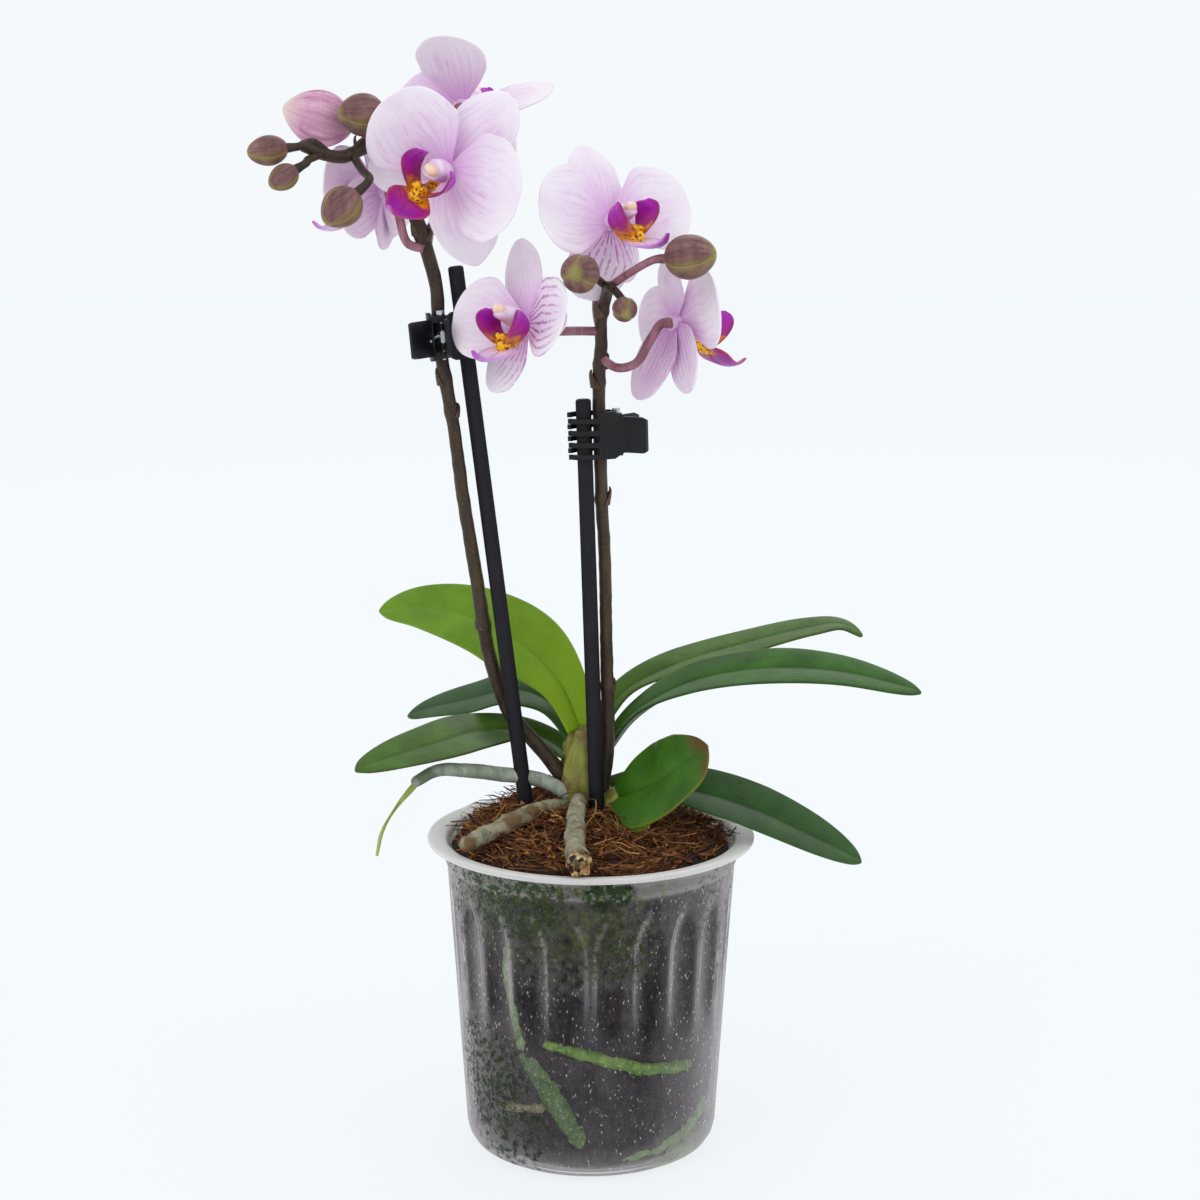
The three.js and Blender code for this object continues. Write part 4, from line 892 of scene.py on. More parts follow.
budLooks = {
    "closed": {"dark": "#6A4446", "light": "#8E6660", "streak": 3, "pore": 0.5, "poreShare": 0.3,
               "poreColour": "#A88678", "stripe": "#55333A", "stripes": 26, "stripeShare": 0.75, "flank": "#86733F",
               "tip": "#8E8A44", "tipPlace": ((0.9, 0), (1, 0.8)), "roughness": 0.48, "bump": 0.25,
               "seam": "#9A9350", "seamWidth": 0.05, "seamShare": 0.7},
    "opening": {"dark": "#C88BAA", "light": "#E0B6CB", "streak": 3, "pore": 0.5, "poreShare": 0.2,
                "poreColour": "#EED8E2", "stripe": "#A2527E", "stripes": 22, "stripeShare": 0.75, "flank": "#CE9AB6",
                "tip": "#E6D2C6", "tipPlace": ((0.7, 0), (0.98, 0.85)), "roughness": 0.5, "bump": 0.2,
                "seam": "#B98AA6", "seamWidth": 0.06, "seamShare": 0.5},
}


def makeBud(name, bud):
    # three sepals wrap the bud: it swells between their seams and is creased along them
    axis = Vector(bud["points"]).normalized()
    side = axis.cross(Vector((0, 0, 1))).normalized()
    other = axis.cross(side)
    start = Vector(bud["base"]) + axis * 0.3
    sharpness = mix(0.8, 0.42, bud["blunt"])
    third = 2 * math.pi / 3

    def shape(co):
        t = (1 - co.z) / 2  # the sphere's lower pole becomes the tip
        turn = math.atan2(co.y, co.x)
        across = min(turn % third, third - turn % third)
        crease = 1 - 0.07 * math.exp(-((across / 0.13) ** 2)) + 0.03 * math.sin(across * 1.5)
        size = bud["width"] / 2 * math.sin(math.pi * min(1, t**0.9 * 0.995)) ** sharpness * crease
        if math.hypot(co.x, co.y) < 1e-5:
            size = 0
        spun = turn + bud["turn"]
        return (start + axis * bud["length"] * mix(0.005, 0.975, t)
                + (side * math.cos(spun) + other * math.sin(spun)) * size) * mm

    bpy.ops.mesh.primitive_uv_sphere_add(segments=48, ring_count=28, radius=1, location=(0, 0, 0))
    piece = bpy.context.object
    layers = [piece.data.attributes.new(key, "FLOAT", "POINT") for key in budLayers]
    for vertex in piece.data.vertices:
        turn = math.atan2(vertex.co.y, vertex.co.x) % (2 * math.pi)
        crease = min(turn % third, third - turn % third) / (third / 2)
        for layer, value in zip(layers, (turn / (2 * math.pi), (1 - vertex.co.z) / 2, crease)):
            layer.data[vertex.index].value = value
    moveVertices(piece, shape)
    makeActive(piece)
    inEditMode(selectAll, turnOutwards)
    look, slot = ("opening", "pink_bud") if name == "bud_pink" else ("closed", "bud")
    setMaterials(piece, budMaterials[look])
    return finishPiece(piece, name + "_sepals", [name], angle=80)


budMaterials = {look: skinMaterial(f"Bud sepals {look}", values) for look, values in budLooks.items()}
for budName, bud in buds.items():
    makeBud(budName, bud)
print("buds made")

# blooms: a tepal is its angle round the face, its lean to the viewer and its twist in degrees, and its length and
# width as shares of the bloom's size; looks say how single ones differ: more mauve all over (tint), magenta stripes
# near the lip, or a more pointed tip
tepals = {
    "sepal_top": (90, 4, 0, 0.5, 0.33), "petal_left": (172, 12, 0, 0.5, 0.56), "petal_right": (8, 12, 0, 0.5, 0.56),
    "sepal_left": (226, -4, 0, 0.48, 0.34), "sepal_right": (314, -4, 0, 0.48, 0.34),
}
blooms = {
    "bloom_a": {
        "centre": (-34, 15, 285), "faces": (0.3, 0.92, 0.25), "lipFaces": (0.1, 0.98, 0.17), "top": (0.05, 0, 1),
        "size": 46, "paleLobe": False,
        "tepals": {"sepal_top": (84, -20, 0, 0.477, 0.42), "petal_right": (-18, 15, 0, 0.46, 0.46),
                   "petal_left": (171, 4, -68, 0.56, 0.28), "sepal_left": (222, -6, 0, 0.44, 0.3),
                   "sepal_right": (300, -2, 0, 0.46, 0.3)},
        "looks": {"petal_right": {"tint": 0.45}}},
    "bloom_b": {
        "centre": (-36.2, -17, 268), "faces": (-0.36, -0.92, -0.06), "top": (0.62, 0, 0.78),
        "size": 50, "paleLobe": False,
        "tepals": {"sepal_top": (82, 5, 0, 0.51, 0.35), "petal_left": (158, 27, 0, 0.48, 0.53),
                   "petal_right": (20, 20, 0, 0.49, 0.54), "sepal_left": (217, -3, 0, 0.5, 0.31),
                   "sepal_right": (315, -8, 0, 0.52, 0.38)},
        "looks": {"sepal_right": {"tip": 0.75}}},
    "bloom_c": {
        "centre": (-55.6, 6.6, 262.2), "faces": (-0.88, 0.46, 0), "top": (0.2, 0, 1),
        "size": 45, "paleLobe": True,
        "tepals": {"sepal_top": (90, 16, 0, 0.45, 0.33), "petal_right": (3, 14, 0, 0.48, 0.46),
                   "sepal_left": (222, 24, 0, 0.46, 0.32), "sepal_right": (335, 5, 0, 0.47, 0.36)},
        "looks": {"sepal_left": {"tint": 0.4, "stripes": 0.3}, "sepal_right": {"tint": 0.45, "stripes": 0.3},
                  "petal_right": {"tint": 0.25}}},
    "bloom_d": {
        "centre": (4.8, -9, 254.4), "faces": (0.54, -0.78, 0.32), "lipFaces": (0.61, -0.75, 0.27),
        "top": (-0.1, 0, 1), "size": 45, "paleLobe": True,
        "tepals": {"sepal_top": (87, -4, 0, 0.5, 0.36), "petal_left": (160, 8, 0, 0.5, 0.54),
                   "petal_right": (7, 18, 0, 0.52, 0.5), "sepal_left": (250, -26, 0, 0.46, 0.42),
                   "sepal_right": (312, -24, 0, 0.44, 0.32)},
        "looks": {"sepal_left": {"stripes": 0.8}, "sepal_right": {"stripes": 0.95}}},
    "bloom_e": {
        "centre": (-16.0, -18.8, 229.0), "faces": (-0.7, -0.62, 0.3), "lipFaces": (-0.6, -0.79, 0.12),
        "top": (0, 0, 1), "size": 45, "paleLobe": True,
        "tepals": {"sepal_top": (116, 8, 0, 0.54, 0.3), "petal_left": (188, 37, 0, 0.45, 0.48),
                   "petal_right": (8, 16, 0, 0.43, 0.46), "sepal_left": (227, -5, 0, 0.52, 0.34),
                   "sepal_right": (5, 9, 0, 0.34, 0.24)},
        "looks": {"petal_right": {"stripes": 0.95}, "sepal_left": {"stripes": 0.7}, "sepal_right": {"tint": 0.4}}},
    "bloom_f": {
        "centre": (22.9, -4, 228.7), "faces": (0.87, 0.47, 0.04), "lipFaces": (0.87, 0.47, -0.12),
        "top": (-0.35, 0, 0.94), "size": 45, "paleLobe": False,
        "tepals": {"sepal_top": (92, 2, 0, 0.38, 0.28), "petal_left": (170, 4, 0, 0.48, 0.48),
                   "petal_right": (2, 4, 0, 0.48, 0.46), "sepal_left": (242, -4, 0, 0.48, 0.36),
                   "sepal_right": (300, -17, 0, 0.52, 0.36)},
        "looks": {"sepal_left": {"stripes": 0.4, "tint": 0.3}, "sepal_right": {"stripes": 0.4, "tint": 0.5},
                  "petal_right": {"tint": 0.15}}},
}
tissue = {"unit": 44, "thickness": 0.55, "lipThickness": 0.6, "ruffle": 0.55, "columnBack": -2.2,
          "stripe": "#9C2F93", "dot": "#8E1B12"}
usualLook = {"tint": 0, "stripes": 0.12, "tip": 0.57}
petalLooks = {
    "front": {"pale": "#F1E8F0", "mauve": "#E3C2E2", "heart": "#DDA6DE", "vein": "#C468C8", "veins": 26,
              "veinStrength": 0.42, "blush": 0.4},
    "back": {"pale": "#F4ECF2", "mauve": "#E4C2E2", "heart": "#D496D4", "vein": "#BC62C2", "veins": 24,
             "veinStrength": 0.45, "blush": 0.5},
}
lipLooks = {
    "wing": {
        "along": ((0, "#F2A800"), (0.1, "#E08A1E"), (0.22, "#A81B78"), (0.6, "#A00CA2"), (1, "#AE30B0")),
        "across": ((0, "#A81288"), (0.7, "#A10FA0"), (0.9, "#8E1450"), (1, "#7A1B2E")),
        "marginShare": ((0, 0), (0.85, 0), (1, 0.7)), "dotSize": 0.9, "dotPlace": ((0.05, 0.8), (0.25, 0))},
    "middle": {
        "along": ((0, "#F4B400"), (0.1, "#E8900C"), (0.2, "#A8287E"), (0.4, "#9A129A"), (0.8, "#A535B2"),
                  (1, "#B860C2")),
        "across": ((0, "#B8451E"), (0.12, "#A8206C"), (0.3, "#A31A90"), (0.5, "#6E0D50"), (0.7, "#A31A90"),
                   (0.88, "#A8206C"), (1, "#B8451E")),
        "marginShare": ((0, 0.6), (0.08, 0.2), (0.16, 0), (0.47, 0), (0.5, 0.6), (0.53, 0), (0.84, 0), (0.92, 0.2),
                        (1, 0.6)),
        "dotSize": 0.8, "dotPlace": ((0.1, 1), (0.3, 0))},
    "outside": {
        "along": ((0, "#F0A020"), (0.1, "#E6B0A0"), (0.2, "#E6CDE6"), (0.6, "#D3A2DA"), (0.85, "#BE6CC8"),
                  (1, "#A838B0")),
        "across": ((0, "#C070C4"), (0.2, "#DDB6E2"), (0.46, "#D8ACDC"), (0.5, "#A31A90"), (0.54, "#D8ACDC"),
                   (0.8, "#DDB6E2"), (1, "#C070C4")),
        "marginShare": ((0, 0.6), (0.15, 0), (0.46, 0), (0.5, 0.8), (0.54, 0), (0.85, 0), (1, 0.6)),
        "dotSize": 0.8, "dotPlace": ((0, 0), (1, 0))},
    "callus": {
        "along": ((0, "#F0A800"), (1, "#F6BE10")), "across": ((0, "#F2B300"), (1, "#F2B300")),
        "marginShare": ((0, 0), (1, 0)), "dotSize": 0.75, "dotPlace": ((0, 1), (1, 1))},
}
columnLook = {"dark": "#E3BFE4", "light": "#F4E6F2", "streak": 2.4, "pore": 0.5, "poreShare": 0.1,
              "poreColour": "#C77CC8", "roughness": 0.42, "bump": 0.15}
capLook = {"dark": "#F0C8A8", "light": "#F8E2CE", "streak": 1.5, "pore": 0.4, "poreShare": 0.1,
           "poreColour": "#E6A98A", "roughness": 0.4, "bump": 0.15}


def petalMaterial(name, look):
    # Moth orchid tepal: living tissue with a fine crystalline skin, so soft light comes back from inside it, and
    # faint veins that fan from the claw and fade to a pale margin; the skin's cells are drawn coarser than real
    material, add, place = newMaterial(name)
    where = add("SeparateXYZ", place["UV"]).node.outputs  # X runs from claw to tip, Y across
    drift = add("TexNoise", place["Object"], metre / 9, 3, 0.55)
    patch = add("TexNoise", place["Object"], metre / 6, 4, 0.55)
    dots = add("TexNoise", place["Object"], metre / 1.6, 2, 0.55)
    cells = add("TexNoise", place["Object"], metre / 0.45, 3, 0.55)
    bent = add("Math", drift, 0.14, where["Y"], operation="MULTIPLY_ADD")
    lines = add("CombineXYZ", bent, add("Math", where["X"], 0.12, operation="MULTIPLY"))
    streaks = add("TexNoise", lines, look["veins"], 4, 0.62)
    wave = add("TexWave", lines, 2.8, 1.6, 3, 2.5).node.outputs["Fac"]
    tint, stripes = [add("Attribute", attribute_name=key).node.outputs["Fac"] for key in ("tint", "stripes")]
    middle = add("ValToRGB", where["Y"], stops=((0.08, 0), (0.5, look["blush"]), (0.92, 0)))
    cloudy = add("ValToRGB", drift, stops=((0.32, 0.1), (0.68, 1)))
    blush = add("Math", middle, cloudy, tint, operation="MULTIPLY_ADD")
    colour = layColours(
        add, look["pale"],
        (look["mauve"], (blush, ((0, 0), (1, 1)))),
        (look["heart"], (where["X"], ((0, 1), (0.12, 0.7), (0.4, 0.15), (0.7, 0)))),
        (look["vein"], (streaks, ((0.5, 0), (0.68, look["veinStrength"]))),
         (where["X"], ((0, 1), (0.45, 0.8), (0.9, 0.1))), (patch, ((0.36, 0.15), (0.62, 1)))),
        (tissue["stripe"], (wave, ((0.6, 0), (0.92, 1))), (dots, ((0.34, 0.1), (0.5, 1))),
         (where["X"], ((0.1, 1), (0.62, 0.45), (0.84, 0))), (stripes, ((0, 0), (1, 1)))))
    height = add("Math", streaks, 0.6, cells, operation="MULTIPLY_ADD")
    finishMaterial(add, {"Base Color": colour, "Roughness": 0.55, "IOR": 1.4, "Specular IOR Level": 0.35,
                         "Subsurface Weight": 0.12, "Subsurface Radius": (0.0024, 0.0014, 0.0022),
                         "Subsurface Scale": 1.0, "Sheen Weight": 0.08}, height, 0.16, 0.2)
    return material


def lipMaterial(name, look):
    # Lip tissue: thicker and glossier than the tepals, magenta where it is thin and orange at its margins
    material, add, place = newMaterial(name)
    where = add("SeparateXYZ", place["UV"]).node.outputs
    drift = add("Math", add("TexNoise", place["Object"], metre / 3, 3, 0.55), 0.5, operation="SUBTRACT")
    along = add("Math", drift, 0.5, where["X"], operation="MULTIPLY_ADD")
    across = add("Math", drift, 0.3, where["Y"], operation="MULTIPLY_ADD")
    dots = add("TexNoise", place["Object"], metre / look["dotSize"], 1, 0.55)
    colour = layColours(
        add, add("ValToRGB", along, stops=look["along"]),
        (add("ValToRGB", across, stops=look["across"]), (across, look["marginShare"])),
        (tissue["dot"], (dots, ((0.56, 0), (0.62, 1))), (where["X"], look["dotPlace"])))
    cells = add("TexNoise", place["Object"], metre / 0.5, 2, 0.55)
    finishMaterial(add, {"Base Color": colour, "Roughness": 0.36, "IOR": 1.42, "Subsurface Weight": 0.08,
                         "Subsurface Radius": (0.0018, 0.0005, 0.0012), "Subsurface Scale": 1.0}, cells, 0.25, 0.2)
    return material


def bloomMatrix(bloom):
    face = Vector(bloom["faces"]).normalized()
    right = Vector(bloom["top"]).cross(face).normalized()
    turn = Matrix((right, face.cross(right), face)).transposed().to_4x4()
    return Matrix.Translation(Vector(bloom["centre"]) * mm) @ turn @ Matrix.Scale(bloom["size"] / tissue["unit"], 4)


def makeTepal(tepal, isPetal, seed, tip):
    # tip says how pointed a sepal is
    angle, lean, twist, length, width = tepal
    isPetal = isPetal or (width > 0.41 and angle > 80)  # a broad sepal is rounded like a petal
    out = Vector((math.cos(math.radians(angle)), math.sin(math.radians(angle)), 0))
    lean = math.radians(lean)
    heading = out * math.cos(lean) + Vector((0, 0, math.sin(lean)))
    untwisted = Vector((0, 0, math.cos(lean))) - out * math.sin(lean)
    normal = Matrix.Rotation(math.radians(twist), 3, heading) @ untwisted
    side = normal.cross(heading)
    reach, half = tissue["unit"] * length, tissue["unit"] * width / 2
    widest = 0.54 if isPetal else 0.52
    curl, cup = (-0.07, 0.1) if isPetal else (-0.1, -0.12)

    def place(u, v):
        t = mix(u, math.sin(u * math.pi / 2), 0.55)  # closer rows near the rounded tip
        neck = min(1, 0.14 + (1.9 if isPetal else 3) * t) ** 0.8
        away = (t - widest) / ((1.005 - widest) if t > widest else widest + 0.01)
        sharp = mix(0.46, 0.5, smooth(t, widest, 1)) if isPetal else mix(0.52, tip, smooth(t, widest, 1))
        wavy = 1 + 0.07 * noise.noise(Vector((t * 3.4, math.copysign(4, v), seed)))
        outline = half * wavy * neck * max(0, 1 - abs(away) ** (2.3 if isPetal else 1.9)) ** sharp + 0.1
        ruffle = tissue["ruffle"] * noise.noise(Vector((t * 2.6, v * 1.7, seed))) * v * v
        ruffle *= math.sin(math.pi * min(1, t * 1.1) * 0.9)
        crease = -0.25 * math.exp(-((v / 0.1) ** 2)) * (1 - t) * (0.6 if isPetal else 1)
        layer = 0.35 if isPetal else -0.25  # the petals lie before the sepals
        rise = curl * reach * t * t + cup * half * v * v * math.sin(math.pi * t) + ruffle + crease + layer
        skew = 0.05 * half * noise.noise(Vector((seed, t * 2, 0)))
        return (heading * reach * t + side * (v * outline + skew) + normal * rise) * mm

    return sheet(24, 18 if isPetal else 12, place)


def makeBloom(name, bloom, seed):
    matrix = bloomMatrix(bloom)
    pieces = []
    for k, (tepalName, usual) in enumerate(tepals.items()):
        look = {**usualLook, **bloom["looks"].get(tepalName, {})}
        tepal, isPetal = bloom["tepals"].get(tepalName, usual), tepalName.startswith("petal")
        piece = makeTepal(tepal, isPetal, seed + k * 7.3, look["tip"])
        for key in ("tint", "stripes"):
            values = piece.data.attributes.new(key, "FLOAT", "POINT").data
            values.foreach_set("value", [look[key]] * len(values))
        piece.data.transform(matrix)
        setMaterials(piece, petalFront, petalBack)
        applyModifier(piece, "SOLIDIFY", thickness=tissue["thickness"] * mm, offset=0, material_offset=1)
        applyModifier(piece, "SUBSURF", levels=1, render_levels=1)
        pieces.append(piece)
    piece = joinPieces(pieces)
    finishPiece(piece, name + "_tepals", [name], angle=80)
    makeColumn(name, matrix)
    makeLip(name, bloom, seed)


def makeColumn(name, matrix):
    # the stout column over the lip, hollow beneath, with the pale anther cap on its tip
    back = tissue["columnBack"]
    ends = [Vector((0, -0.4, back)), Vector((0, 0.6, 4)), Vector((0, 0, 9))]
    route = [ends[0] * (1 - t) ** 2 + ends[1] * 2 * t * (1 - t) + ends[2] * t * t for t in (0, 0.25, 0.5, 0.75, 1)]
    column = tube(route, lambda t: through([2, 1.7, 2, 2.6, 2.7, 2.1], t), 20, 20, roundEnd=True)

    def hollow(co):
        pressed = 0.45 * max(0, -co.y - 0.6 * mm) * smooth(co.z / mm, 3, 8)
        return Vector((co.x * 1.12, co.y + pressed, co.z))

    moveVertices(column, hollow)
    bpy.ops.mesh.primitive_uv_sphere_add(segments=24, ring_count=16, radius=1, location=(0, 0, 0))
    cap = bpy.context.object
    moveVertices(cap, lambda co: Vector((co.x * 1.9, 0.75 + co.y * 1.5, 9.9 + co.z * 2 + 0.5 * co.y)) * mm)
    setMaterials(column, columnSkin)
    setMaterials(cap, antherCap)
    piece = joinPieces([column, cap])
    piece.data.transform(matrix)
    finishPiece(piece, name + "_column", [], angle=80)


def makeLip(name, bloom, seed):
    # two rounded wings that stand up beside the column, a callus between them, and the long pointed middle lobe
    matrix = bloomMatrix({**bloom, "faces": bloom.get("lipFaces", bloom["faces"])})
    lobeTissue = lobeOutside if bloom["paleLobe"] else middleTissue
    parts = []
    for s in (1, -1):
        def wing(u, v, s=s):
            tall = mix(u, math.sin(u * math.pi / 2), 0.6)
            out = 1.2 + 4.1 * math.sin(2.3 * tall) + 1.1 * v * tall
            away = abs((tall - 0.55) / (0.46 if tall > 0.55 else 0.66))
            half = 3.9 * max(0, 1 - away**2.3) ** 0.5 + 0.25
            wave = 0.25 * noise.noise(Vector((tall * 4, v * 2, seed + s)))
            return Vector((s * (out + wave), -5.6 + 8.6 * tall, 8.6 + 1.2 * tall + v * half)) * mm
        piece = sheet(18, 14, wing)
        setMaterials(piece, wingTissue)
        parts.append(piece)

    def middle(u, v):
        half = through([1.3, 3.6, 5.4, 5.6, 4.6, 3.2, 2.0, 1.1, 0.45], u)
        keel = 0.5 * math.exp(-((v / 0.16) ** 2)) * (1 - u)
        lift = 1.5 * abs(v) ** 1.6 * math.sin(math.pi * min(1, u * 1.1 + 0.1)) + keel
        back = -1.6 * abs(v) ** 1.5 * (1 - u)
        return Vector((v * half, -6.1 - 4.4 * math.sin(2.4 * u) + lift + 1.2 * u**4, 8 + 13 * u + back)) * mm

    piece = sheet(26, 16, middle)
    setMaterials(piece, lobeTissue)
    parts.append(piece)
    for part in parts:
        part.data.transform(matrix)
        applyModifier(part, "SOLIDIFY", thickness=tissue["lipThickness"] * mm, offset=0)
        applyModifier(part, "SUBSURF", levels=1, render_levels=1)
    claw = tube([(0, -2.25, 2.4), (0, -4.4, 4.3), (0, -5.6, 7), (0, -6, 9.5)], lambda t: mix(1, 1.9, t), 16, 14,
                roundEnd=True)
    setMaterials(claw, callusTissue)
    claw.data.transform(matrix)
    parts.append(claw)
    for s in (1, -1):
        bpy.ops.mesh.primitive_uv_sphere_add(segments=18, ring_count=12, radius=1, location=(0, 0, 0))
        callus = bpy.context.object
        moveVertices(callus, lambda co: Vector((0.85 * s + co.x * 1.2, -4.4 + co.y * 1.2 + 0.5 * co.z,
                                                9.4 + co.z * 1.8)) * mm)
        roughen(callus, 1.2, 0.5, seed)
        setMaterials(callus, callusTissue)
        callus.data.transform(matrix)
        parts.append(callus)
    finishPiece(joinPieces(parts), name + "_lip_lobes", [name + "_lip"], angle=80)


petalFront = petalMaterial("Petal face", petalLooks["front"])
petalBack = petalMaterial("Petal back", petalLooks["back"])
wingTissue = lipMaterial("Lip side lobe", lipLooks["wing"])
middleTissue = lipMaterial("Lip middle lobe", lipLooks["middle"])
lobeOutside = lipMaterial("Lip middle lobe outside", lipLooks["outside"])
callusTissue = lipMaterial("Lip callus", lipLooks["callus"])
columnSkin = skinMaterial("Column skin", columnLook)
antherCap = skinMaterial("Anther cap", capLook)
for number, (bloomName, bloom) in enumerate(blooms.items()):
    makeBloom(bloomName, bloom, 11.3 * number)
print("blooms made")

# flower spikes: a path and radii along it in mm; a bract is its place along the spike, the way it leans in degrees
# and its length; a stalk is the path to the bloom or bud it carries
spikes = {
    "spike_left": {
        "path": [(-7, 6, 101), (-13, 6.5, 109), (-18, 7, 114.5), (-22, 6.5, 119.5), (-25, 5, 127), (-28, 3.5, 138),
                 (-30.5, 1, 156), (-34, -1.5, 180), (-36.5, -3, 201), (-39.2, -4, 218), (-40, -4, 226),
                 (-40.6, -4, 238), (-43, -3, 247), (-46, -1, 256), (-49, 0, 266), (-52.5, -1, 273.5),
                 (-56.5, -5, 276), (-59.4, -11, 273), (-63.6, -17, 271.3), (-68.6, -22, 272.3), (-72, -25, 274)],
        "radii": [2.2, 1.9, 1.8, 1.7, 1.8, 2, 1.5],
        "bracts": [(0.24, 200, 3.5), (0.515, 20, 3.5), (0.556, 180, 4.5), (0.73, 0, 4.5), (0.74, 190, 4),
                   (0.9, 190, 4)],
        "stalks": {
            "bloom_b": [(-43, -2.6, 247), (-42, 0.4, 253), (-37.5, -3, 260)],
            "bloom_c": [(-43.5, -4, 247.5), (-48, -3, 249), (-50, -2, 255)],
            "bloom_a": [(-47, -1, 260), (-43, 3, 268), (-38, 6, 277)],
            "bud_pink": [(-54, -2, 275), (-57, -0.8, 276.8)],
            "bud_upper": [(-55.5, -4.5, 275.6), (-50.5, -8.5, 279)],
            "bud_lower": [(-61, -14, 272), (-58, -20, 268), (-55.5, -26, 266)],
            "bud_outer": [(-66, -20, 271.8), (-70, -23, 275)],
            "bud_tip": [(-68, -22, 272), (-71, -26, 270.5)]}},
    "spike_right": {
        "path": [(3, 1, 100), (4.6, 0.4, 112), (4.6, 0, 125), (4.2, 0, 142), (3.8, 0, 164), (3, 0, 180),
                 (2.4, -0.6, 199), (2.2, -1, 213), (2.8, -3, 222), (2.8, -5, 228.5), (4, -9, 235), (4.6, -14, 238),
                 (5.4, -18, 238.4)],
        "radii": [2, 1.8, 1.7, 1.7, 1.75, 1.7, 1.4],
        "bracts": [(0.2, 20, 3.5), (0.55, 10, 4.5), (0.765, 200, 4.5), (0.8, 0, 4), (0.9, 210, 4)],
        "stalks": {
            "bloom_d": [(2.8, -3.6, 225), (1.6, 2, 231), (2, 7, 240), (2.4, 5, 249)],
            "bloom_e": [(2.7, -4, 226), (-2, -5.5, 226.2)],
            "bloom_f": [(2.6, -2.4, 219), (7, -5, 216.5), (12, -8, 218), (15.6, -9, 224)],
            "bud_round": [(4.4, -13, 238), (1.5, -17, 240.6)],
            "bud_big": [(5, -16, 238.4), (10, -20, 242)],
            "bud_small": [(5.2, -17, 238.4), (7, -18.6, 236.8)]}},
}
stalkRadius = {"bloom": 1.2, "bud": 1.05}
stemLooks = {
    "stem": {"dark": "#281B16", "light": "#43341F", "streak": 2.2, "pore": 0.55, "poreShare": 0.45,
             "poreColour": "#5E5238", "roughness": 0.5, "bump": 0.35},
    "stalk": {"dark": "#75474E", "light": "#AA7684", "streak": 2.5, "pore": 0.5, "poreShare": 0.35,
              "poreColour": "#B98F94", "roughness": 0.48, "bump": 0.25},
    "bract": {"dark": "#3A2A20", "light": "#5E4A34", "streak": 1.5, "pore": 0.5, "poreShare": 0.3,
              "poreColour": "#7C6A4C", "roughness": 0.6, "bump": 0.4},
}


def stalkEnd(name):
    if name in buds:
        return Vector(buds[name]["base"]), Vector(buds[name]["points"]).normalized()
    matrix = bloomMatrix(blooms[name])
    face = Vector(blooms[name]["faces"]).normalized()
    return (matrix @ (Vector((0, -0.4, tissue["columnBack"])) * mm)) / mm - face * 0.3, face


def makeBract(axis, bract):
    # a pointed scale that clasps the stem and leans out at its tip
    place, degrees, length = bract
    root = axis[round(place * (len(axis) - 1))]
    out = Vector((math.cos(math.radians(degrees)), math.sin(math.radians(degrees)), 0))
    side = Vector((-out.y, out.x, 0))

    def scale(u, v):
        wide = 2.1 * (1 - u**2.2) ** 0.7 + 0.12
        bend = v * 1.35 * (1 - 0.55 * u)
        lean = 0.45 * length * u**1.6
        return (root + out * (wide * math.cos(bend) + lean - 0.15) + side * wide * math.sin(bend)
                + Vector((0, 0, -1.6 + 1.12 * length * u))) * mm

    piece = sheet(10, 10, scale)
    applyModifier(piece, "SOLIDIFY", thickness=0.45 * mm, offset=0)
    applyModifier(piece, "SUBSURF", levels=1, render_levels=1)
    setMaterials(piece, stemMaterials["bract"])
    return piece


def makeSpike(name, spike):
    axis = smoothPath(spike["path"], 400)
    nodes = [place for place, _, _ in spike["bracts"]]

    def radius(t):
        swell = sum(0.28 * math.exp(-(((t - place) / 0.008) ** 2)) for place in nodes)
        return through(spike["radii"], t) + swell

    main = tube(spike["path"], radius, 260, 16, roundEnd=True)
    roughen(main, 3, 0.14)
    setMaterials(main, stemMaterials["stem"])
    parts = [main]
    for target, points in spike["stalks"].items():
        end, heading = stalkEnd(target)
        thick = stalkRadius["bud" if target in buds else "bloom"]
        route = [*points, tuple(end - heading * 2.4), tuple(end + heading * 0.9)]
        stalk = tube(route, lambda t: thick * (1 + 0.22 * smooth(t, 0.8, 1)), 40, 12)
        isDark = target in buds and target != "bud_big"
        setMaterials(stalk, stemMaterials["stem" if isDark else "stalk"])
        parts.append(stalk)
    parts += [makeBract(axis, bract) for bract in spike["bracts"]]
    return finishPiece(joinPieces(parts), name + "_skin", [name], angle=75)


stemMaterials = {look: skinMaterial(f"Flower {look} skin", values) for look, values in stemLooks.items()}
for spikeName, spike in spikes.items():
    makeSpike(spikeName, spike)
print("spikes made")

# stakes and claw clips: each stake from foot to head in mm, and the body that each jaw belongs to
stakes = {
    "stake_left": {"foot": (-8.8, 2, 20), "head": (-35.6, -1.8, 243)},
    "stake_right": {"foot": (4.2, -4.4, 18), "head": (-2, -2.4, 208)},
}
stakeShape = {"radius": 2, "rounding": 0.7}
clips = {"clip_right_jaw": "plant", "clip_right_moving_jaw": "clip_right_opener",
         "clip_left_jaw": "plant", "clip_left_moving_jaw": "clip_left_opener"}
jawRounding = 0.22
plasticLooks = {
    "rod": {"shade": "#131119", "worn": "#2A2832", "roughness": 0.55},
    "clip": {"shade": "#100F15", "worn": "#2A2832", "roughness": 0.42},
}


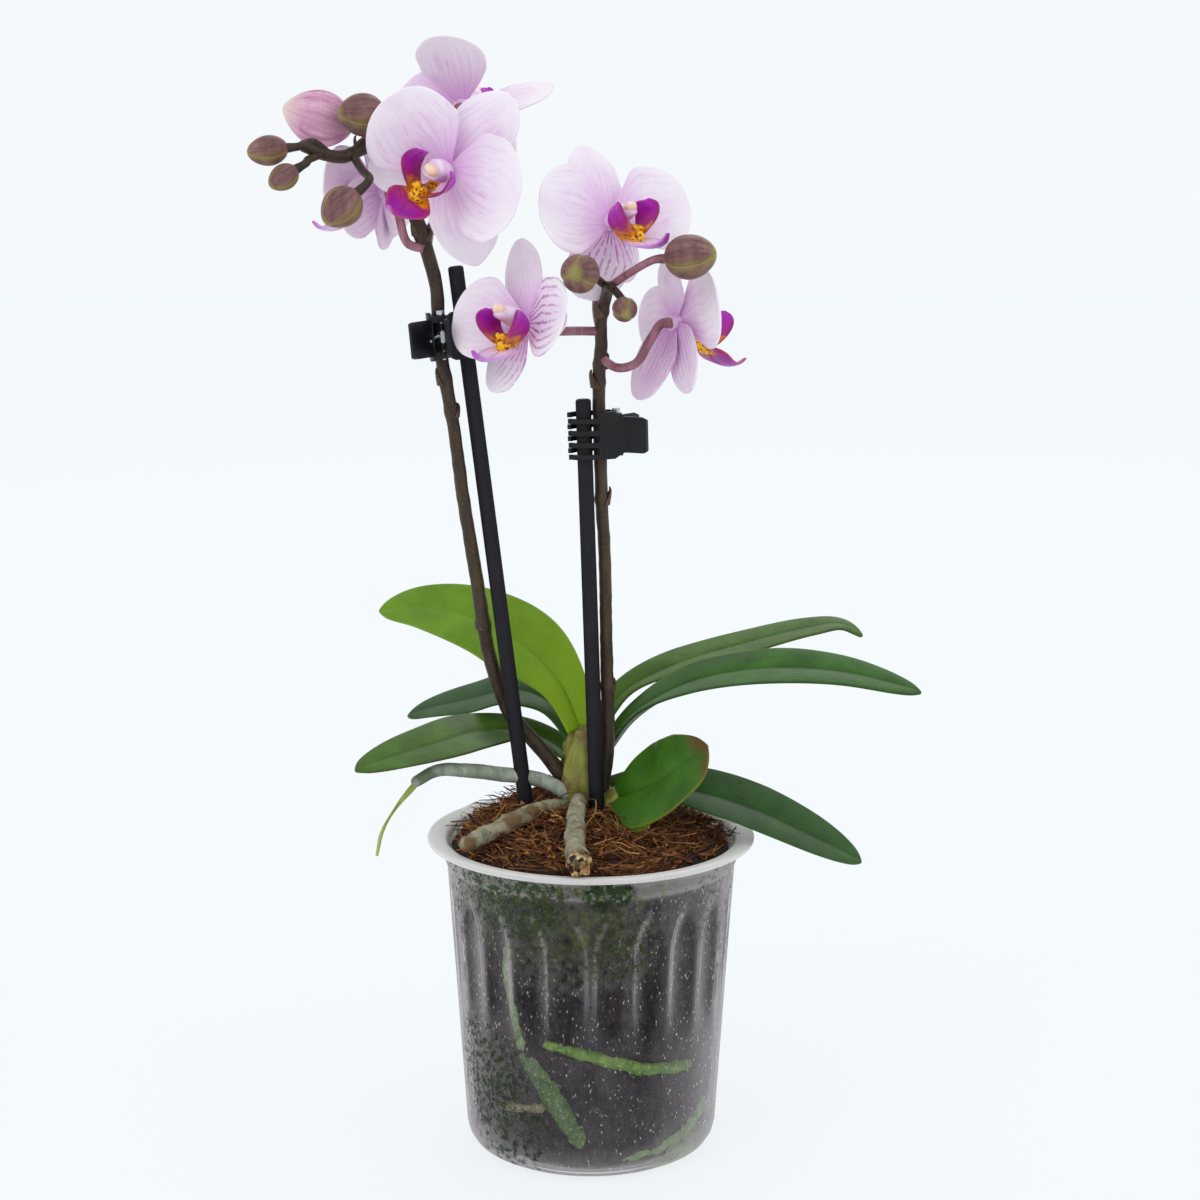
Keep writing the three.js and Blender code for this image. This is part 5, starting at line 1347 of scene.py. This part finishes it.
def mouldedPlastic(name, look):
    # Injection moulded black plastic: a satin grain, drawn coarser than real, that breaks up its highlights, and
    # slightly paler where it is worn
    material, add, place = newMaterial(name)
    satin = add("TexNoise", place["Object"], metre / 0.35, 2, 0.55)
    worn = add("TexNoise", place["Object"], metre / 6, 4, 0.55)
    colour = layColours(add, look["shade"], (look["worn"], (worn, ((0.5, 0), (0.8, 0.25)))))
    rough = add("MapRange", satin, 0, 1, look["roughness"] - 0.08, look["roughness"] + 0.1)
    finishMaterial(add, {"Base Color": colour, "Roughness": rough, "IOR": 1.49, "Specular IOR Level": 0.3},
                   satin, 0.2, 0.06)
    return material


def drawnSteel():
    # Drawn spring steel wire: bright, with faint lines along it, drawn coarser than real
    material, add, place = newMaterial("Drawn spring steel")
    stretched = add("Mapping", place["Object"], Scale=(1, 1, 0.2))
    lines = add("TexNoise", stretched, metre / 0.3, 2, 0.55)
    colour = layColours(add, "#A9ABAE", ("#D9DBDD", (lines, ((0.3, 0), (0.8, 1)))))
    rough = add("MapRange", lines, 0, 1, 0.2, 0.38)
    finishMaterial(add, {"Base Color": colour, "Metallic": 1.0, "Roughness": rough}, lines, 0.15, 0.04)
    return material


def makeStake(name, stake):
    # a moulded rod: a cylinder with rounded ends
    foot, head = Vector(stake["foot"]), Vector(stake["head"])
    bpy.ops.mesh.primitive_cylinder_add(vertices=40, radius=stakeShape["radius"] * mm,
                                        depth=(head - foot).length * mm, location=(0, 0, 0))
    piece = bpy.context.object
    selectFaces(piece, lambda normal: abs(normal.z) > 0.9)
    inEditMode(lambda: bpy.ops.mesh.bevel(offset=stakeShape["rounding"] * mm, segments=4))
    turn = Vector((0, 0, 1)).rotation_difference(head - foot).to_matrix().to_4x4()
    piece.matrix_world = Matrix.Translation((foot + head) / 2 * mm) @ turn
    placeInMesh(piece)
    setMaterials(piece, stakePlastic)
    return finishPiece(piece, name + "_rod", [name], angle=40)


def makeJaw(name, body):
    # the moulded jaw with its edges rounded off
    piece = copyOfNode(name)
    applyModifier(piece, "BEVEL", width=jawRounding * mm, segments=2, limit_method="ANGLE",
                  angle_limit=math.radians(35))
    setMaterials(piece, clipPlastic)
    return finishPiece(piece, name + "_moulding", [name], body, angle=35)


stakePlastic = mouldedPlastic("Moulded black polypropylene rod", plasticLooks["rod"])
clipPlastic = mouldedPlastic("Moulded black polystyrene", plasticLooks["clip"])
for stakeName, stake in stakes.items():
    makeStake(stakeName, stake)
for jawName, body in clips.items():
    makeJaw(jawName, body)
wire = drawnSteel()
for springName in ("clip_right_spring", "clip_left_spring"):
    setMaterials(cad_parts[springName], wire)
print("stakes and clips made")

# floor, light and camera, in metres: a lamp is its place, its aim, its size, its power in watts and its colour
studio = {"floor": "#F5F9FC", "backdrop": "#F5F9FC", "skyStrength": 1.0, "floorGlow": 0.84,
          "floorShade": "#6A6C6E", "floorFrost": "#66686A", "floorSize": 8, "floorDrop": 0.0002,
          "lamps": [((-0.9, -1.1, 1.25), (0, 0, 0.17), 0.9, 4.5, "#FFFFFF"),
                    ((1.2, -0.7, 0.8), (0, 0, 0.15), 0.8, 1.6, "#F6FAFF"),
                    ((0.3, 1.2, 1.1), (0, 0, 0.18), 0.8, 2.5, "#FFFFFF")]}
view = {"place": (0.0025, -0.6395, 0.2728), "pitchDown": 10.6, "lens": 72}


def floorMaterial():
    # Backlit acrylic sweep with a frosted face: an even pale glow that leaves only the faintest shadow
    material, add, place = newMaterial("Backlit frosted acrylic sweep")
    frost = add("TexNoise", place["Object"], metre / 3, 2, 0.55)
    colour = layColours(add, studio["floorShade"], (studio["floorFrost"], (frost, ((0.3, 0), (0.7, 0.3)))))
    finishMaterial(add, {"Base Color": colour, "Roughness": 0.95, "Specular IOR Level": 0.0,
                         "Emission Color": studio["floor"], "Emission Strength": studio["floorGlow"]},
                   frost, 0.02, 0.1)
    return material


def makeStudio():
    bpy.ops.mesh.primitive_plane_add(size=studio["floorSize"], location=(0, 0, 0))
    floor = bpy.context.object
    inEditMode(lambda: bpy.ops.mesh.subdivide(number_cuts=3))
    floor.name = "studio_floor"
    floor.data.transform(Matrix.Translation((0, 0, -studio["floorDrop"])))  # keeps clear of the pot's underside
    setMaterials(floor, floorMaterial())
    world = bpy.data.worlds.new("studio")
    bpy.context.scene.world = world
    world.use_nodes = True
    sky = world.node_tree.nodes["Background"].inputs
    sky["Color"].default_value = hexColour(studio["backdrop"])
    sky["Strength"].default_value = studio["skyStrength"]
    for place, aim, size, power, shade in studio["lamps"]:
        bpy.ops.object.light_add(type="AREA", location=place)
        lamp = bpy.context.object
        lamp.data.size, lamp.data.energy, lamp.data.color = size, power, hexColour(shade)[:3]
        lamp.rotation_euler = (Vector(aim) - Vector(place)).to_track_quat("-Z", "Y").to_euler()
    bpy.ops.object.camera_add(location=view["place"], rotation=(math.radians(90 - view["pitchDown"]), 0, 0))
    camera = bpy.context.object
    camera.data.lens, camera.data.sensor_width = view["lens"], 36
    camera.data.clip_start = 0.01
    bpy.context.scene.camera = camera
    bpy.context.scene.view_settings.view_transform = "Standard"


makeStudio()
print("studio made")
